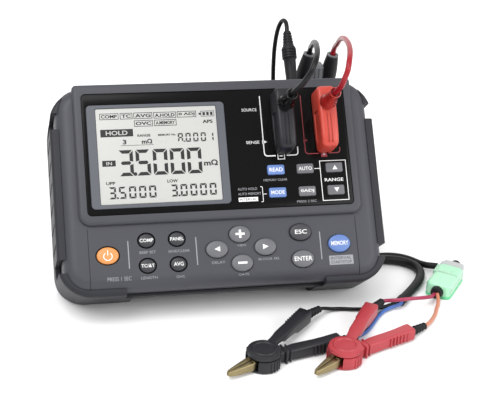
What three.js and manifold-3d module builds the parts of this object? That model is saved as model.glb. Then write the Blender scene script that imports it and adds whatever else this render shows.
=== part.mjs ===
// A hand-held four-terminal milliohm meter with its plugs, leads and Kelvin clips.
// Millimetres, +Z up. Origin: bottom centre of the instrument, which leans on its stand.
// The instrument is drawn in face axes (x right, y up the face, z out of the face,
// z = 0 on the raised display block) and then leaned back as one group.

import * as THREE from 'three';
import { mergeVertices } from 'three/addons/utils/BufferGeometryUtils.js';
import Module from 'manifold-3d';

const wasm = await Module();
wasm.setup();

// ---------- driving dimensions ----------
const LEAN = 39;                 // degrees the face leans back from upright
const STAND_SPLAY = 20;          // degrees the open stand leaves the vertical
const UNIT_HEIGHT = 77;          // face origin above the table
const GAP = 0.3;                 // clearance between touching pieces

const CASE = { w: 192, top: 60.5, bottom: -63.5, r: 15, front: -3, back: -50, fillet: 8, wall: 2.5 };
const PARTING = -17;             // plane between the front and the rear cover
const BLOCK = { half: 85.6, top: 61, bottom: -24.7, r: 7, fillet: 2.2 };
const CHAMFER = { y0: -63.5, z0: -24, y1: -46, z1: -50 };  // lower rear edge of the case
const GUARD = { half: 99.5, top: 59.5, bottom: -66, r: 20, front: -5.5, back: -56, heel: 22 };
const PANEL = { y: 17.9, w: 160.8, h: 73.7, r: 2.5, z0: -1.5, z1: -0.3 };
const BEZEL = { x: -36.3, y: 16.4, w: 83.2, h: 63.2, r: 2.5 };
const LCD = { x: -36.1, y: 16.5, w: 72.9, h: 58.6 };
const SOCKET = { x: [39.2, 65.2], y: [41.5, 22.5], bore: 2.4, outer: 4 };
const JACK = { x: 55.5, z: -27.5 };
const BATTERY = { x: -20, y: -12, cell: 7.2, length: 50.5, pitch: 15, z: -38.5 };
const DOOR = { x: -20, y: -12, w: 108, h: 66, r: 3 };
const STAND = { y: 30, z: -53, half: 32, bar: 4, foot: 3, hub: 3 };
const SCREW_X = 82.5;
const SCREW_Y = -34;
const KEY_FLOOR = -9;            // underside of every key stem
const KEY_FLANGE = { z0: -8.2, z1: -7.4, lip: 0.9 };

const ROUND_KEYS = [
  ['power', -70.2, -42.4, 13.8, 10.9, -1.9, 0xe8a050],
  ['comp', -47.1, -34.6, 10.5, 9.3, -2.1, 0x4b4e52],
  ['panel', -29.0, -34.6, 10.5, 9.3, -2.1, 0x4b4e52],
  ['tc', -47.2, -49.6, 10.5, 9.3, -2.1, 0x4b4e52],
  ['avg', -29.0, -49.6, 10.5, 9.3, -2.1, 0x4b4e52],
  ['left', -5.6, -42.2, 13.4, 10.5, -0.9, 0x828487],
  ['plus', 8.8, -33.8, 13.2, 10.4, -0.9, 0x828487],
  ['minus', 9.0, -51.2, 13.2, 10.4, -0.9, 0x828487],
  ['right', 23.7, -42.2, 13.4, 10.5, -0.9, 0x828487],
  ['esc', 45.9, -34.4, 13.6, 10.6, -0.9, 0x55585c],
  ['enter', 46.0, -50.7, 13.8, 10.6, -0.9, 0x828487],
  ['memory', 69.2, -42.5, 13.8, 11.0, -0.9, 0x788cd7],
];
const FLAT_KEYS = [
  ['read', 33.8, 4.0, 0x788cd7],
  ['mode', 33.7, -10.0, 0x788cd7],
  ['auto', 51.9, 4.0, 0x828487],
  ['zero_adjust', 52.0, -10.0, 0x828487],
  ['range_up', 70.0, 4.0, 0x828487],
  ['range_down', 69.9, -10.0, 0x828487],
];
const FLAT_KEY = { w: 10.5, h: 6, r: 1, top: 0.7 };

const MAIN_CABLE = 6.5;          // diameters of the free cords
const STRAND_BLACK = 5.8;
const STRAND_RED = 4.2;
const PLUG_LEAD = 3.4;
const SENSOR_CORD = 2.8;
const CLIP_WIRE = 2.3;
const COIL = { x: 28, y: 108, r: 35, layers: 3 };

const CLIP = { head: 10, height: 12, split: 8, spread: 17, upper: 51, lower: 50, relief: 13, bend: 12, jaw: 26 };
const CLIPS = [
  { name: 'black', x: 12, y: -110.5, turn: 32, color: 0x2f3034 },
  { name: 'red', x: 59.2, y: -112.5, turn: 40, color: 0xd24b55 },
];

// ---------- materials ----------
function plastic(color, roughness = 0.55, metalness = 0) {
  return new THREE.MeshStandardMaterial({ color, roughness, metalness });
}
const CASE_GREY = plastic(0x6e7074);
const RUBBER = plastic(0x3c3d42, 0.85);
const GLOSS_BLACK = plastic(0x0f0f0f, 0.15);
const BLACK = plastic(0x222226, 0.45);
const METAL = plastic(0xb8b8b8, 0.3, 1);
const BRASS = plastic(0x96875a, 0.35, 1);

// ---------- solids ----------
function solidOf(geometry) {
  const g = geometry.clone();
  g.deleteAttribute('normal');
  if (g.attributes.uv) g.deleteAttribute('uv');
  const merged = mergeVertices(g, 1e-4);
  const triVerts = [];
  const index = merged.index.array;
  for (let i = 0; i < index.length; i += 3) {
    const [a, b, c] = [index[i], index[i + 1], index[i + 2]];
    if (a !== b && b !== c && c !== a) triVerts.push(a, b, c);
  }
  const vertProperties = new Float32Array(merged.attributes.position.array);
  return new wasm.Manifold(new wasm.Mesh({ numProp: 3, vertProperties, triVerts: new Uint32Array(triVerts) }));
}

function geometryOf(solid) {
  const mesh = solid.getMesh();
  const geometry = new THREE.BufferGeometry();
  geometry.setAttribute('position', new THREE.BufferAttribute(new Float32Array(mesh.vertProperties), 3));
  geometry.setIndex(new THREE.BufferAttribute(new Uint32Array(mesh.triVerts), 1));
  geometry.computeVertexNormals();
  return geometry;
}

function addPiece(parent, name, solid, material) {
  const mesh = new THREE.Mesh(geometryOf(solid), material);
  mesh.name = name;
  parent.add(mesh);
  return mesh;
}

function union(...solids) {
  return solids.reduce((sum, next) => sum.add(next));
}

function cut(solid, ...tools) {
  return tools.reduce((rest, tool) => rest.subtract(tool), solid);
}

function box(x0, x1, y0, y1, z0, z1) {
  const g = new THREE.BoxGeometry(x1 - x0, y1 - y0, z1 - z0);
  g.translate((x0 + x1) / 2, (y0 + y1) / 2, (z0 + z1) / 2);
  return solidOf(g);
}

// A rectangle with corner radii [top left, top right, bottom right, bottom left].
function roundedRect(x0, x1, y0, y1, radii) {
  const [tl, tr, br, bl] = Array.isArray(radii) ? radii : [radii, radii, radii, radii];
  const shape = new THREE.Shape();
  shape.moveTo(x0 + bl, y0);
  shape.lineTo(x1 - br, y0);
  shape.absarc(x1 - br, y0 + br, br, -Math.PI / 2, 0, false);
  shape.lineTo(x1, y1 - tr);
  shape.absarc(x1 - tr, y1 - tr, tr, 0, Math.PI / 2, false);
  shape.lineTo(x0 + tl, y1);
  shape.absarc(x0 + tl, y1 - tl, tl, Math.PI / 2, Math.PI, false);
  shape.lineTo(x0, y0 + bl);
  shape.absarc(x0 + bl, y0 + bl, bl, Math.PI, Math.PI * 1.5, false);
  return shape;
}

// Extrudes a shape from z0 to z1; a bevel rounds both ends inside that height.
function prism(shape, z0, z1, bevel = 0, curveSegments = 4, bevelSegments = 3) {
  const g = new THREE.ExtrudeGeometry(shape, {
    depth: z1 - z0 - 2 * bevel,
    bevelEnabled: bevel > 0,
    bevelThickness: bevel,
    bevelSize: bevel,
    bevelOffset: -bevel,
    bevelSegments,
    curveSegments,
  });
  g.translate(0, 0, z0 + bevel);
  return solidOf(g);
}

function plate(cx, cy, w, h, r, z0, z1, bevel = 0) {
  return prism(roundedRect(cx - w / 2, cx + w / 2, cy - h / 2, cy + h / 2, r), z0, z1, bevel, 2, 1);
}

function rod(x, y, z0, z1, radius, topRadius = radius, segments = 16) {
  const g = new THREE.CylinderGeometry(topRadius, radius, z1 - z0, segments);
  g.rotateX(Math.PI / 2);
  g.translate(x, y, (z0 + z1) / 2);
  return solidOf(g);
}

function ellipse(x, y, w, h, z0, z1, bevel = 0) {
  const shape = new THREE.Shape();
  shape.absellipse(x, y, w / 2, h / 2, 0, Math.PI * 2, false, 0);
  return prism(shape, z0, z1, bevel, 8, 1);
}

// Extrudes a side view (y, z) along x.
function sideProfile(points, x0, x1) {
  const shape = new THREE.Shape(points.map(([y, z]) => new THREE.Vector2(y, z)));
  const g = new THREE.ExtrudeGeometry(shape, { depth: x1 - x0, bevelEnabled: false });
  g.applyMatrix4(new THREE.Matrix4().set(0, 0, 1, x0, 1, 0, 0, 0, 0, 1, 0, 0, 0, 0, 0, 1));
  return solidOf(g);
}

function arcPoints(cy, cz, radius, from, to, steps) {
  const points = [];
  for (let i = 0; i <= steps; i += 1) {
    const angle = THREE.MathUtils.degToRad(from + ((to - from) * i) / steps);
    points.push([cy + radius * Math.cos(angle), cz + radius * Math.sin(angle)]);
  }
  return points;
}

function placed(solid, { move = [0, 0, 0], turn = [0, 0, 0] } = {}) {
  return solid.rotate(turn).translate(move);
}

// ---------- case ----------
const CASE_BOX = [-CASE.w / 2, CASE.w / 2, CASE.bottom, CASE.top];

// Outer form of the closed case; `grow` moves every wall outwards.
function caseForm(grow) {
  const [x0, x1, y0, y1] = CASE_BOX;
  const body = prism(
    roundedRect(x0 - grow, x1 + grow, y0 - grow, y1 + grow, CASE.r + grow),
    CASE.back - grow, CASE.front + grow, CASE.fillet + grow, 4, 3);
  const block = prism(
    roundedRect(-BLOCK.half - grow, BLOCK.half + grow, BLOCK.bottom - grow, BLOCK.top + grow,
      [1.5, 1.5, BLOCK.r + grow, BLOCK.r + grow].map((r) => Math.max(r, BLOCK.fillet + grow + 0.2))),
    CASE.back + 4 - grow, grow, BLOCK.fillet + grow, 3, 2);
  const slope = [CHAMFER.y1 - CHAMFER.y0, CHAMFER.z1 - CHAMFER.z0];
  const length = Math.hypot(...slope);
  const shift = [(-grow * -slope[1]) / length, (-grow * slope[0]) / length];
  const reach = 2;
  const heel = sideProfile([
    [CHAMFER.y0 + shift[0] - slope[0] * reach, CHAMFER.z0 + shift[1] - slope[1] * reach],
    [CHAMFER.y0 - 90, CHAMFER.z0 - 40],
    [CHAMFER.y1 + shift[0] + slope[0] * reach, CHAMFER.z1 + shift[1] + slope[1] * reach],
  ], -120, 120);
  return cut(union(body, block), heel);
}

function caseCavity() {
  const wall = CASE.wall;
  const [x0, x1, y0, y1] = CASE_BOX;
  const body = prism(
    roundedRect(x0 + wall, x1 - wall, y0 + wall, y1 - wall, CASE.r - wall),
    CASE.back + wall, CASE.front - wall - 0.5, CASE.fillet - wall, 4, 2);
  const block = prism(
    roundedRect(-BLOCK.half + wall, BLOCK.half - wall, BLOCK.bottom + wall, BLOCK.top - wall,
      [1.5, 1.5, BLOCK.r - wall, BLOCK.r - wall]), -12, -3.4, 0, 3, 1);
  return union(body, block).intersect(caseForm(-wall));
}

const shell = cut(caseForm(0), caseCavity());

function keyHoles(clearance, z0, z1) {
  return ROUND_KEYS.map(([, x, y, w, h]) => ellipse(x, y, w + clearance, h + clearance, z0, z1));
}

function frontCover() {
  const recess = plate(0, PANEL.y, PANEL.w + 0.6, PANEL.h + 0.6, PANEL.r + GAP, PANEL.z0 - GAP, 1);
  const displayWindow = plate(BEZEL.x, BEZEL.y, BEZEL.w + 0.8, BEZEL.h + 0.8, 2, -9, 1);
  const controlWindow = plate(53, 16.5, 52, 69, 2, -9, 1);
  const front = cut(shell.trimByPlane([0, 0, 1], PARTING + GAP / 2), recess, displayWindow, controlWindow,
    ...keyHoles(0.8, -9, 1));
  const bosses = [-1, 1].map((side) => cut(
    rod(side * SCREW_X, SCREW_Y, PARTING + 0.4, -5, 4),
    rod(side * SCREW_X, SCREW_Y, PARTING, -8, 1.8)));
  return union(front, ...bosses);
}

function rearCover() {
  const door = plate(DOOR.x, DOOR.y, DOOR.w + 0.7, DOOR.h + 0.7, DOOR.r, -54, -44);
  const rear = cut(shell.trimByPlane([0, 0, -1], -(PARTING - GAP / 2)), door);
  const bosses = [-1, 1].map((side) => rod(side * SCREW_X, SCREW_Y, -49, PARTING - 1, 4.4));
  const bores = [-1, 1].map((side) => union(
    rod(side * SCREW_X, SCREW_Y, -52, PARTING, 1.9),
    rod(side * SCREW_X, SCREW_Y, -52, -47, 3.4)));
  const axis = placed(rod(0, 0, -45, 45, 1.9), { move: [0, STAND.y, STAND.z], turn: [0, 90, 0] });
  const lugs = [-1, 1].map((side) => {
    const near = STAND.half + GAP;
    const [x0, x1] = side > 0 ? [near, near + 4.5] : [-near - 4.5, -near];
    return box(x0, x1, STAND.y - 3.6, STAND.y + 3.6, -56, -49);
  });
  const jackHole = placed(rod(0, 0, -8, 8, 3.9), { move: [JACK.x, 60, JACK.z], turn: [90, 0, 0] });
  return cut(union(rear, ...bosses, ...lugs), ...bores, axis, jackHole);
}

// Rubber guard: side walls, four corners and a ring round the back.
function guard() {
  const outline = prism(
    roundedRect(-GUARD.half, GUARD.half, GUARD.bottom, GUARD.top, GUARD.r), GUARD.back, GUARD.front, 2.5, 6, 2);
  const heel = [GUARD.bottom + GUARD.heel, GUARD.back + GUARD.heel];
  const side = sideProfile([
    [GUARD.bottom, 5],
    [GUARD.bottom, heel[1]],
    ...arcPoints(heel[0], heel[1], GUARD.heel, 180, 270, 6),
    [GUARD.top - 6, GUARD.back],
    ...arcPoints(GUARD.top - 6, GUARD.back + 6, 6, 270, 360, 3),
    [GUARD.top, 5],
  ].filter((p, i, all) => i === 0 || Math.hypot(p[0] - all[i - 1][0], p[1] - all[i - 1][1]) > 0.01), -110, 110);
  const normal = [0, Math.sin(THREE.MathUtils.degToRad(90 - LEAN)), Math.cos(THREE.MathUtils.degToRad(90 - LEAN))];
  const whole = outline.intersect(side).trimByPlane(normal, -UNIT_HEIGHT);
  const archForm = caseForm(1.8).trimByPlane([0, 0, -1], -(PARTING - 1));
  const arch = cut(sideProfile([[-52, -20], [-52, -70], [-80, -70], [-80, 2], [-64, 2], [-64, -20]], -56, 56), archForm);
  const frontOpening = prism(roundedRect(-90.5, 90.5, -58.5, 70, 14), -22, 5);
  const lowerFront = box(-60, 60, -80, -50, PARTING - 0.6, 5);
  const topOpening = box(-87.2, 87.2, 48, 70, -40, 5);
  const backOpening = plate(0, 0, 176, 89, 8, -70, -44);
  const notches = [];
  for (const sideSign of [-1, 1]) {
    for (const [y0, y1] of [[35.5, 45.5], [-51, -43]]) {
      const [x0, x1] = sideSign > 0 ? [92, 110] : [-110, -92];
      notches.push(box(x0, x1, y0, y1, -34, 5));
    }
  }
  return cut(whole, caseForm(0.4), arch, frontOpening, lowerFront, topOpening, backOpening, ...notches);
}

function facePanel() {
  const sheet = plate(0, PANEL.y, PANEL.w, PANEL.h, PANEL.r, PANEL.z0, PANEL.z1);
  const windowHole = plate(BEZEL.x, BEZEL.y, BEZEL.w + 0.6, BEZEL.h + 0.6, BEZEL.r, -4, 2);
  const keys = FLAT_KEYS.map(([, x, y]) => plate(x, y, FLAT_KEY.w + 0.6, FLAT_KEY.h + 0.6, FLAT_KEY.r, -4, 2));
  const sockets = SOCKET.x.flatMap((x) => SOCKET.y.map((y) => rod(x, y, -4, 2, SOCKET.outer + GAP)));
  return cut(sheet, windowHole, ...keys, ...sockets);
}

function lcdBezel() {
  return cut(
    plate(BEZEL.x, BEZEL.y, BEZEL.w, BEZEL.h, BEZEL.r, -3.2, -0.3),
    plate(LCD.x, LCD.y, LCD.w, LCD.h, 1, -5, 2));
}

function lcdModule() {
  return union(
    box(LCD.x - 38, LCD.x + 38, LCD.y - 30.5, LCD.y + 30.5, -8.6, -3.6),
    plate(LCD.x, LCD.y, LCD.w - 0.6, LCD.h - 0.6, 0.8, -4, -1));
}

function terminalBlock() {
  const base = box(30, 74.4, 14.5, 49.5, -22, -4);
  const tubes = SOCKET.x.flatMap((x) => SOCKET.y.map((y) => rod(x, y, -6, -0.6, SOCKET.outer)));
  const bores = SOCKET.x.flatMap((x) => SOCKET.y.map((y) => rod(x, y, -20.5, 1, SOCKET.bore, undefined, 12)));
  return cut(union(base, ...tubes), ...bores);
}

function mainBoard() {
  return cut(box(-73, 73, -56, 56, -12, -10.4), box(28, 80, 12.5, 51.5, -14, -8));
}

function sensorJack() {
  const body = box(JACK.x - 5, JACK.x + 5, 44.5, 57.9, JACK.z - 5, JACK.z + 4.8);
  const collar = placed(rod(0, 0, 0, 4, 3.5), { move: [JACK.x, 61, JACK.z], turn: [90, 0, 0] });
  const bore = placed(rod(0, 0, -2, 14.5, 2.1), { move: [JACK.x, 61, JACK.z], turn: [90, 0, 0] });
  return cut(union(body, collar), bore);
}

function batteryPack() {
  const { x, y, cell, length, pitch, z } = BATTERY;
  const floor = z + cell - GAP;
  const tray = cut(
    box(x - length - 2.2, x + length + 2.2, y - 2 * pitch - 1.4, y + 2 * pitch + 1.4, z - 4, floor + 1.4),
    box(x - length - 1, x + length + 1, y - 2 * pitch - 0.2, y + 2 * pitch + 0.2, z - 6, floor));
  const cells = [];
  for (let row = 0; row < 4; row += 1) {
    for (const side of [-1, 1]) {
      const centre = [x + (side * (length + 0.6)) / 2, y + (row - 1.5) * pitch, z];
      cells.push(placed(rod(0, 0, -length / 2, length / 2, cell, undefined, 12), { move: centre, turn: [0, 90, 0] }));
    }
  }
  return union(tray, ...cells);
}

function batteryCover() {
  const lid = plate(DOOR.x, DOOR.y, DOOR.w, DOOR.h, DOOR.r, -50, -47.8);
  const grip = plate(DOOR.x, DOOR.y - 22, 26, 8, 3, -52, -49.2);
  return cut(lid, grip);
}

function caseScrew(side) {
  return cut(
    union(rod(side * SCREW_X, SCREW_Y, -49.6, -47.3, 3), rod(side * SCREW_X, SCREW_Y, -47.6, -9, 1.5, undefined, 10)),
    box(side * SCREW_X - 2.2, side * SCREW_X + 2.2, SCREW_Y - 0.4, SCREW_Y + 0.4, -50, -48.6),
    box(side * SCREW_X - 0.4, side * SCREW_X + 0.4, SCREW_Y - 2.2, SCREW_Y + 2.2, -50, -48.6));
}

// ---------- keys ----------
function roundKey([, x, y, w, h, top]) {
  const [dx, dy] = [0.375 * w, h / 2 + KEY_FLANGE.lip];
  return union(
    ellipse(x, y, w, h, KEY_FLOOR, top, 0.6),
    box(x - dx, x + dx, y - dy, y + dy, KEY_FLANGE.z0, KEY_FLANGE.z1));
}

function flatKey([, x, y]) {
  return union(
    plate(x, y, FLAT_KEY.w, FLAT_KEY.h, FLAT_KEY.r, KEY_FLOOR, FLAT_KEY.top, 0.5),
    box(x - 6.1, x + 6.1, y - 3.9, y + 3.9, KEY_FLANGE.z0, KEY_FLANGE.z1));
}

// ---------- stand ----------
const lean = THREE.MathUtils.degToRad(LEAN);
const hingeHeight = UNIT_HEIGHT + STAND.y * Math.cos(lean) + STAND.z * Math.sin(lean);
const STAND_LENGTH = (hingeHeight - STAND.foot) / Math.cos(THREE.MathUtils.degToRad(STAND_SPLAY));

// Drawn folded flat, hanging down from a hinge at its own origin.
function standFrame() {
  const half = STAND.half;
  const blade = plate(0, -STAND_LENGTH / 2, 2 * half, STAND_LENGTH, 3, -STAND.bar / 2, STAND.bar / 2);
  const window = plate(0, -STAND_LENGTH / 2 + 1, 2 * half - 22, STAND_LENGTH - 26, 5, -5, 5);
  const hub = placed(rod(0, 0, -half, half, STAND.hub), { turn: [0, 90, 0] });
  const pin = placed(rod(0, 0, -half - 4, half + 4, 1.5, undefined, 12), { turn: [0, 90, 0] });
  const foot = placed(rod(0, 0, -half, half, STAND.foot), { move: [0, -STAND_LENGTH, 0], turn: [0, 90, 0] });
  return union(cut(blade, window), hub, pin, foot);
}

// ---------- plugs ----------
function bananaPlug(x) {
  const centre = (SOCKET.y[0] + SOCKET.y[1]) / 2;
  const body = plate(x, centre, 11, 37.5, 3, 0.2, 18, 1.6);
  const boss = rod(x, SOCKET.y[0] - 1.2, 17, 26, 5.2, 4.4);
  const sleeve = rod(x, SOCKET.y[0] - 1.2, 25, 38, 3.9, 2.9);
  const pins = SOCKET.y.map((y) => rod(x, y, -17, 1, 2, undefined, 12));
  return union(body, boss, sleeve, ...pins);
}

function sensorPlug() {
  const profile = [
    [0, -13], [1.75, -13], [1.75, 0.4], [3.3, 0.4], [3.9, 21], [4.7, 22.4], [4.7, 28.4],
    [3.4, 29.8], [3.1, 34], [2.3, 39.7], [0, 39.7],
  ].map(([r, h]) => new THREE.Vector2(r, h));
  const g = new THREE.LatheGeometry(profile, 16);
  g.translate(JACK.x, 61, JACK.z);
  return solidOf(g);
}

// ---------- free cords ----------
function tube(points, diameter, steps, sides = 8) {
  const path = new THREE.CatmullRomCurve3(points.map((p) => new THREE.Vector3(...p)), false, 'centripetal');
  const section = new THREE.Shape();
  for (let i = 0; i < sides; i += 1) {
    const angle = ((i + 0.5) / sides) * Math.PI * 2;
    const point = [(diameter / 2) * Math.cos(angle), (diameter / 2) * Math.sin(angle)];
    if (i === 0) section.moveTo(...point);
    else section.lineTo(...point);
  }
  section.closePath();
  return solidOf(new THREE.ExtrudeGeometry(section, { extrudePath: path, steps, bevelEnabled: false }));
}

const BLACK_LEAD = [
  [39.2, -29.5, 132.5], [39.5, -32.9, 135.2], [42.0, -38.0, 141.0], [44.8, -40.8, 147.2], [47.0, -41.0, 151.5],
  [49.7, -37.0, 155.4], [52.6, -28.0, 157.0], [55.6, -15.0, 155.6], [59.1, 0.0, 151.7], [63.0, 18.0, 145.9],
  [66.4, 34.0, 139.4], [69.6, 49.0, 131.6], [71.0, 55.6, 129.0], [71.9, 60.2, 125.8], [71.9, 61.4, 122.6],
];
const RED_LEAD = [
  [65.2, -29.5, 132.5], [65.3, -32.9, 135.2], [65.9, -38.0, 140.0], [66.6, -41.0, 146.0], [67.8, -41.2, 150.6],
  [69.5, -37.0, 154.9], [72.2, -28.0, 156.6], [75.4, -14.0, 155.6], [78.5, 2.0, 152.4], [81.3, 18.0, 148.0],
  [84.2, 35.0, 141.2], [86.4, 49.0, 132.6], [87.3, 55.8, 128.6], [87.7, 60.0, 124.8], [87.6, 61.3, 121.6],
];
const SENSOR_LEAD = [
  [55.5, 59.9, 138.3], [55.6, 61.6, 140.4], [55.6, 64.6, 142.2], [55.0, 67.6, 142.6], [54.0, 70.0, 141.0],
  [52.6, 71.2, 137.0], [51.4, 71.4, 130.6], [50.6, 71.0, 122.0], [50.4, 70.4, 112.0], [50.6, 69.8, 102.0],
  [51.0, 69.2, 92.0], [51.3, 68.8, 82.0], [51.5, 68.6, 72.0],
];
const CABLE_DROP = [
  [77.0, 65.5, 81.7], [77.0, 65.6, 72.0], [76.6, 66.0, 61.0], [75.4, 66.8, 50.0], [72.6, 68.2, 39.5],
  [67.8, 69.8, 30.5], [61.0, 71.2, 23.6], [55.6, 72.0, 20.4], [51.0, 72.5, 18.6],
];
const CABLE_RUN = [
  [63.0, 84.5, 3.6], [63.0, 72.0, 3.6], [63.0, 58.0, 3.6], [63.0, 44.0, 3.6], [63.4, 32.0, 3.6],
  [65.8, 20.5, 3.6], [71.0, 10.5, 3.6], [78.5, 3.0, 3.6], [86.0, -1.2, 3.6], [91.5, -2.0, 3.6],
];
const BLACK_STRAND = [
  [108.4, -5.0, 3.2], [113.0, -5.4, 3.2], [118.5, -6.4, 3.2], [124.5, -8.6, 3.2], [129.6, -12.4, 3.2],
  [132.6, -17.6, 3.2], [133.0, -24.0, 3.2], [130.6, -31.0, 3.2], [125.8, -38.6, 3.2], [119.6, -46.2, 3.2],
  [113.6, -53.0, 3.2], [109.5, -57.3, 3.2],
];
const RED_STRAND = [
  [108.4, 0.4, 2.5], [114.0, 0.6, 2.5], [120.0, 0.2, 2.5], [126.8, -2.2, 2.5], [132.2, -6.6, 2.6],
  [136.0, -12.0, 2.9], [139.4, -17.0, 4.0], [144.2, -20.6, 5.0],
];
const CRIMSON_WIRE = [
  [132.4, -53.6, 4.2], [129.4, -57.0, 5.0], [124.3, -60.1, 6.5], [119.4, -62.2, 7.7], [114.6, -63.4, 8.4],
  [110.4, -64.2, 8.8], [106.7, -64.2, 8.6], [102.8, -62.6, 7.6], [99.6, -60.7, 6.4], [97.1, -59.7, 5.7],
];
const ORANGE_WIRE = [
  [134.4, -55.1, 4.0], [133.8, -58.6, 2.6], [132.4, -62.2, 1.6], [130.4, -65.9, 1.3], [128.2, -70.6, 1.3],
  [125.5, -74.9, 1.4], [122.6, -79.0, 1.7], [119.4, -82.6, 2.1], [116.3, -85.5, 2.5],
];
const BLUE_WIRE = [
  [110.1, -58.5, 3.2], [108.4, -60.2, 2.8], [103.0, -61.6, 2.0], [97.6, -64.2, 1.5], [92.6, -69.0, 1.3],
  [88.2, -75.0, 1.3], [84.0, -80.8, 1.3], [79.5, -86.2, 1.5], [75.5, -89.6, 2.0], [72.4, -91.6, 2.4],
];
const BLACK_WIRE = [
  [108.3, -56.8, 3.2], [102.0, -59.2, 2.0], [95.0, -60.6, 1.5], [87.0, -61.0, 1.5], [79.0, -60.2, 1.5],
  [71.0, -58.8, 1.5], [64.5, -59.6, 2.4], [59.5, -61.6, 4.2], [56.3, -63.9, 5.6],
];

function coilRing() {
  const half = MAIN_CABLE / 2;
  const height = COIL.layers * MAIN_CABLE;
  const profile = [
    [COIL.r - half, 0.1], [COIL.r + half, 0.1], [COIL.r + half, height], [COIL.r - half, height], [COIL.r - half, 0.1],
  ].map(([r, h]) => new THREE.Vector2(r, h));
  const g = new THREE.LatheGeometry(profile, 32);
  g.rotateX(Math.PI / 2);
  g.translate(COIL.x, COIL.y, 0);
  return solidOf(g);
}

// Junction where the two plug leads meet the main cable, behind the top edge.
function leadJunction() {
  const shoulders = box(66, 88.5, 60.5, 71, 88, 103);
  const spine = box(71, 83, 60.5, 71, 88, 113);
  const exit = rod(77, 65.5, 82, 90, 3.5, 4.6);
  const reliefs = [[[68.6, 64.4, 101], [71.8, 61.6, 121.9]], [[86, 65, 101], [87.6, 61.5, 121.1]]]
    .map((ends) => cone(ends[0], ends[1], 4.2, 2.6));
  return union(shoulders, spine, exit, ...reliefs);
}

// A straight cone between two points.
function cone(from, to, radius, endRadius, segments = 12) {
  const a = new THREE.Vector3(...from);
  const b = new THREE.Vector3(...to);
  const axis = b.clone().sub(a);
  const g = new THREE.CylinderGeometry(endRadius, radius, axis.length(), segments);
  g.applyQuaternion(new THREE.Quaternion().setFromUnitVectors(new THREE.Vector3(0, 1, 0), axis.normalize()));
  const middle = a.add(b).multiplyScalar(0.5);
  g.translate(middle.x, middle.y, middle.z);
  return solidOf(g);
}

function cableSplit() {
  return placed(prism(roundedRect(-8, 8, -6.4, 6.4, 3), 0.1, 7.4, 1.2, 3, 2), { move: [100, -2, 0] });
}

function inlineConnector() {
  const body = prism(roundedRect(-16.5, 13.5, -8.2, 8.2, 2.5), 0.1, 10, 1.4, 3, 2);
  const step = box(2, 12, 7, 9.4, 1.2, 8);
  const cap = placed(prism(roundedRect(12, 18, -6.8, 6.8, 2), 0.6, 9.4, 1, 2, 1));
  const knob = cone([17, 0, 5], [22.5, 0, 5], 3.6, 3.1);
  const ring = cone([-16, 0, 4.4], [-19.4, 0, 4.2], 4, 3.4);
  return placed(union(body, step, cap, knob, ring), { move: [145.4, -37.6, 0], turn: [0, 0, 53] });
}

// ---------- Kelvin clips ----------
// Drawn at the origin with the jaws along -x; `side` is +1 for the upper, moving grip.
function clipHandle(from, to, z0, z1) {
  const outline = new THREE.Shape([
    [from, -3.3], [20, -3.8], [34, -3.4], [to, -3.8], [to, 3.8], [34, 3.8], [20, 3.6], [from, 3.3],
  ].filter(([x]) => x >= from).map(([x, y]) => new THREE.Vector2(x, y)));
  return prism(outline, z0, z1, 0.8, 2, 1);
}

// Strain relief at the end of a handle, bent back towards the middle.
function clipRelief(side, length, z0, z1) {
  const bend = THREE.MathUtils.degToRad(-side * CLIP.bend);
  const tip = [length + CLIP.relief * Math.cos(bend), CLIP.relief * Math.sin(bend), z1];
  return cone([length - 1, 0, z0], tip, 3.1, 2.1, 10);
}

function fixedGrip() {
  const head = rod(0, 0, 0.1, CLIP.split, CLIP.head, undefined, 24);
  const mouth = box(-12, 2, -5, 5, 1.4, CLIP.split + 1);
  const sweep = box(-12, -4, -5, 9, 1.4, CLIP.split + 1);
  const hub = rod(0, 0, 0.5, CLIP.split, 2.4, undefined, 12);
  const handle = union(
    box(5, 16, -3.3, 3.3, 0.6, CLIP.split - 0.2),
    clipHandle(15, CLIP.lower, 0.6, CLIP.split),
    clipRelief(-1, CLIP.lower, 3.9, 2.5));
  return union(cut(head, mouth, sweep), hub, placed(handle, { turn: [0, 0, -CLIP.spread] }));
}

function movingGrip() {
  const top = CLIP.height - 0.8;
  const disc = rod(0, 0, CLIP.split + GAP, top, CLIP.head - 0.3, undefined, 24);
  const ring = rod(0, 0, CLIP.height - 1.2, CLIP.height, 6.4, 5.8, 20);
  const handle = union(
    box(5, 18, -3.3, 3.3, CLIP.split + GAP, top),
    clipHandle(17, 36, 6.4, top + 0.2),
    clipHandle(33, CLIP.upper, 3.2, top + 0.2),
    clipRelief(1, CLIP.upper, 6.8, 5.6));
  return union(disc, ring, placed(handle, { turn: [0, 0, CLIP.spread] }));
}

function jaw(side) {
  const outline = new THREE.Shape([
    [-5, 0.2], [-5, 3.4], [-12, 3.6], [-CLIP.jaw + 1, 1.5], [-CLIP.jaw, 0.9], [-CLIP.jaw, 0.2],
  ].map(([x, y]) => new THREE.Vector2(x, y)));
  const leaf = prism(outline, 1.8, 7, 0, 1, 1);
  return placed(side > 0 ? leaf : leaf.mirror([0, 1, 0]), { turn: [0, 0, -3.5] });
}

// ---------- assembly ----------
const instrument = new THREE.Group();
const unit = new THREE.Group();
unit.rotation.x = THREE.MathUtils.degToRad(90 - LEAN);
unit.position.set(0, 0, UNIT_HEIGHT);
instrument.add(unit);

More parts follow.
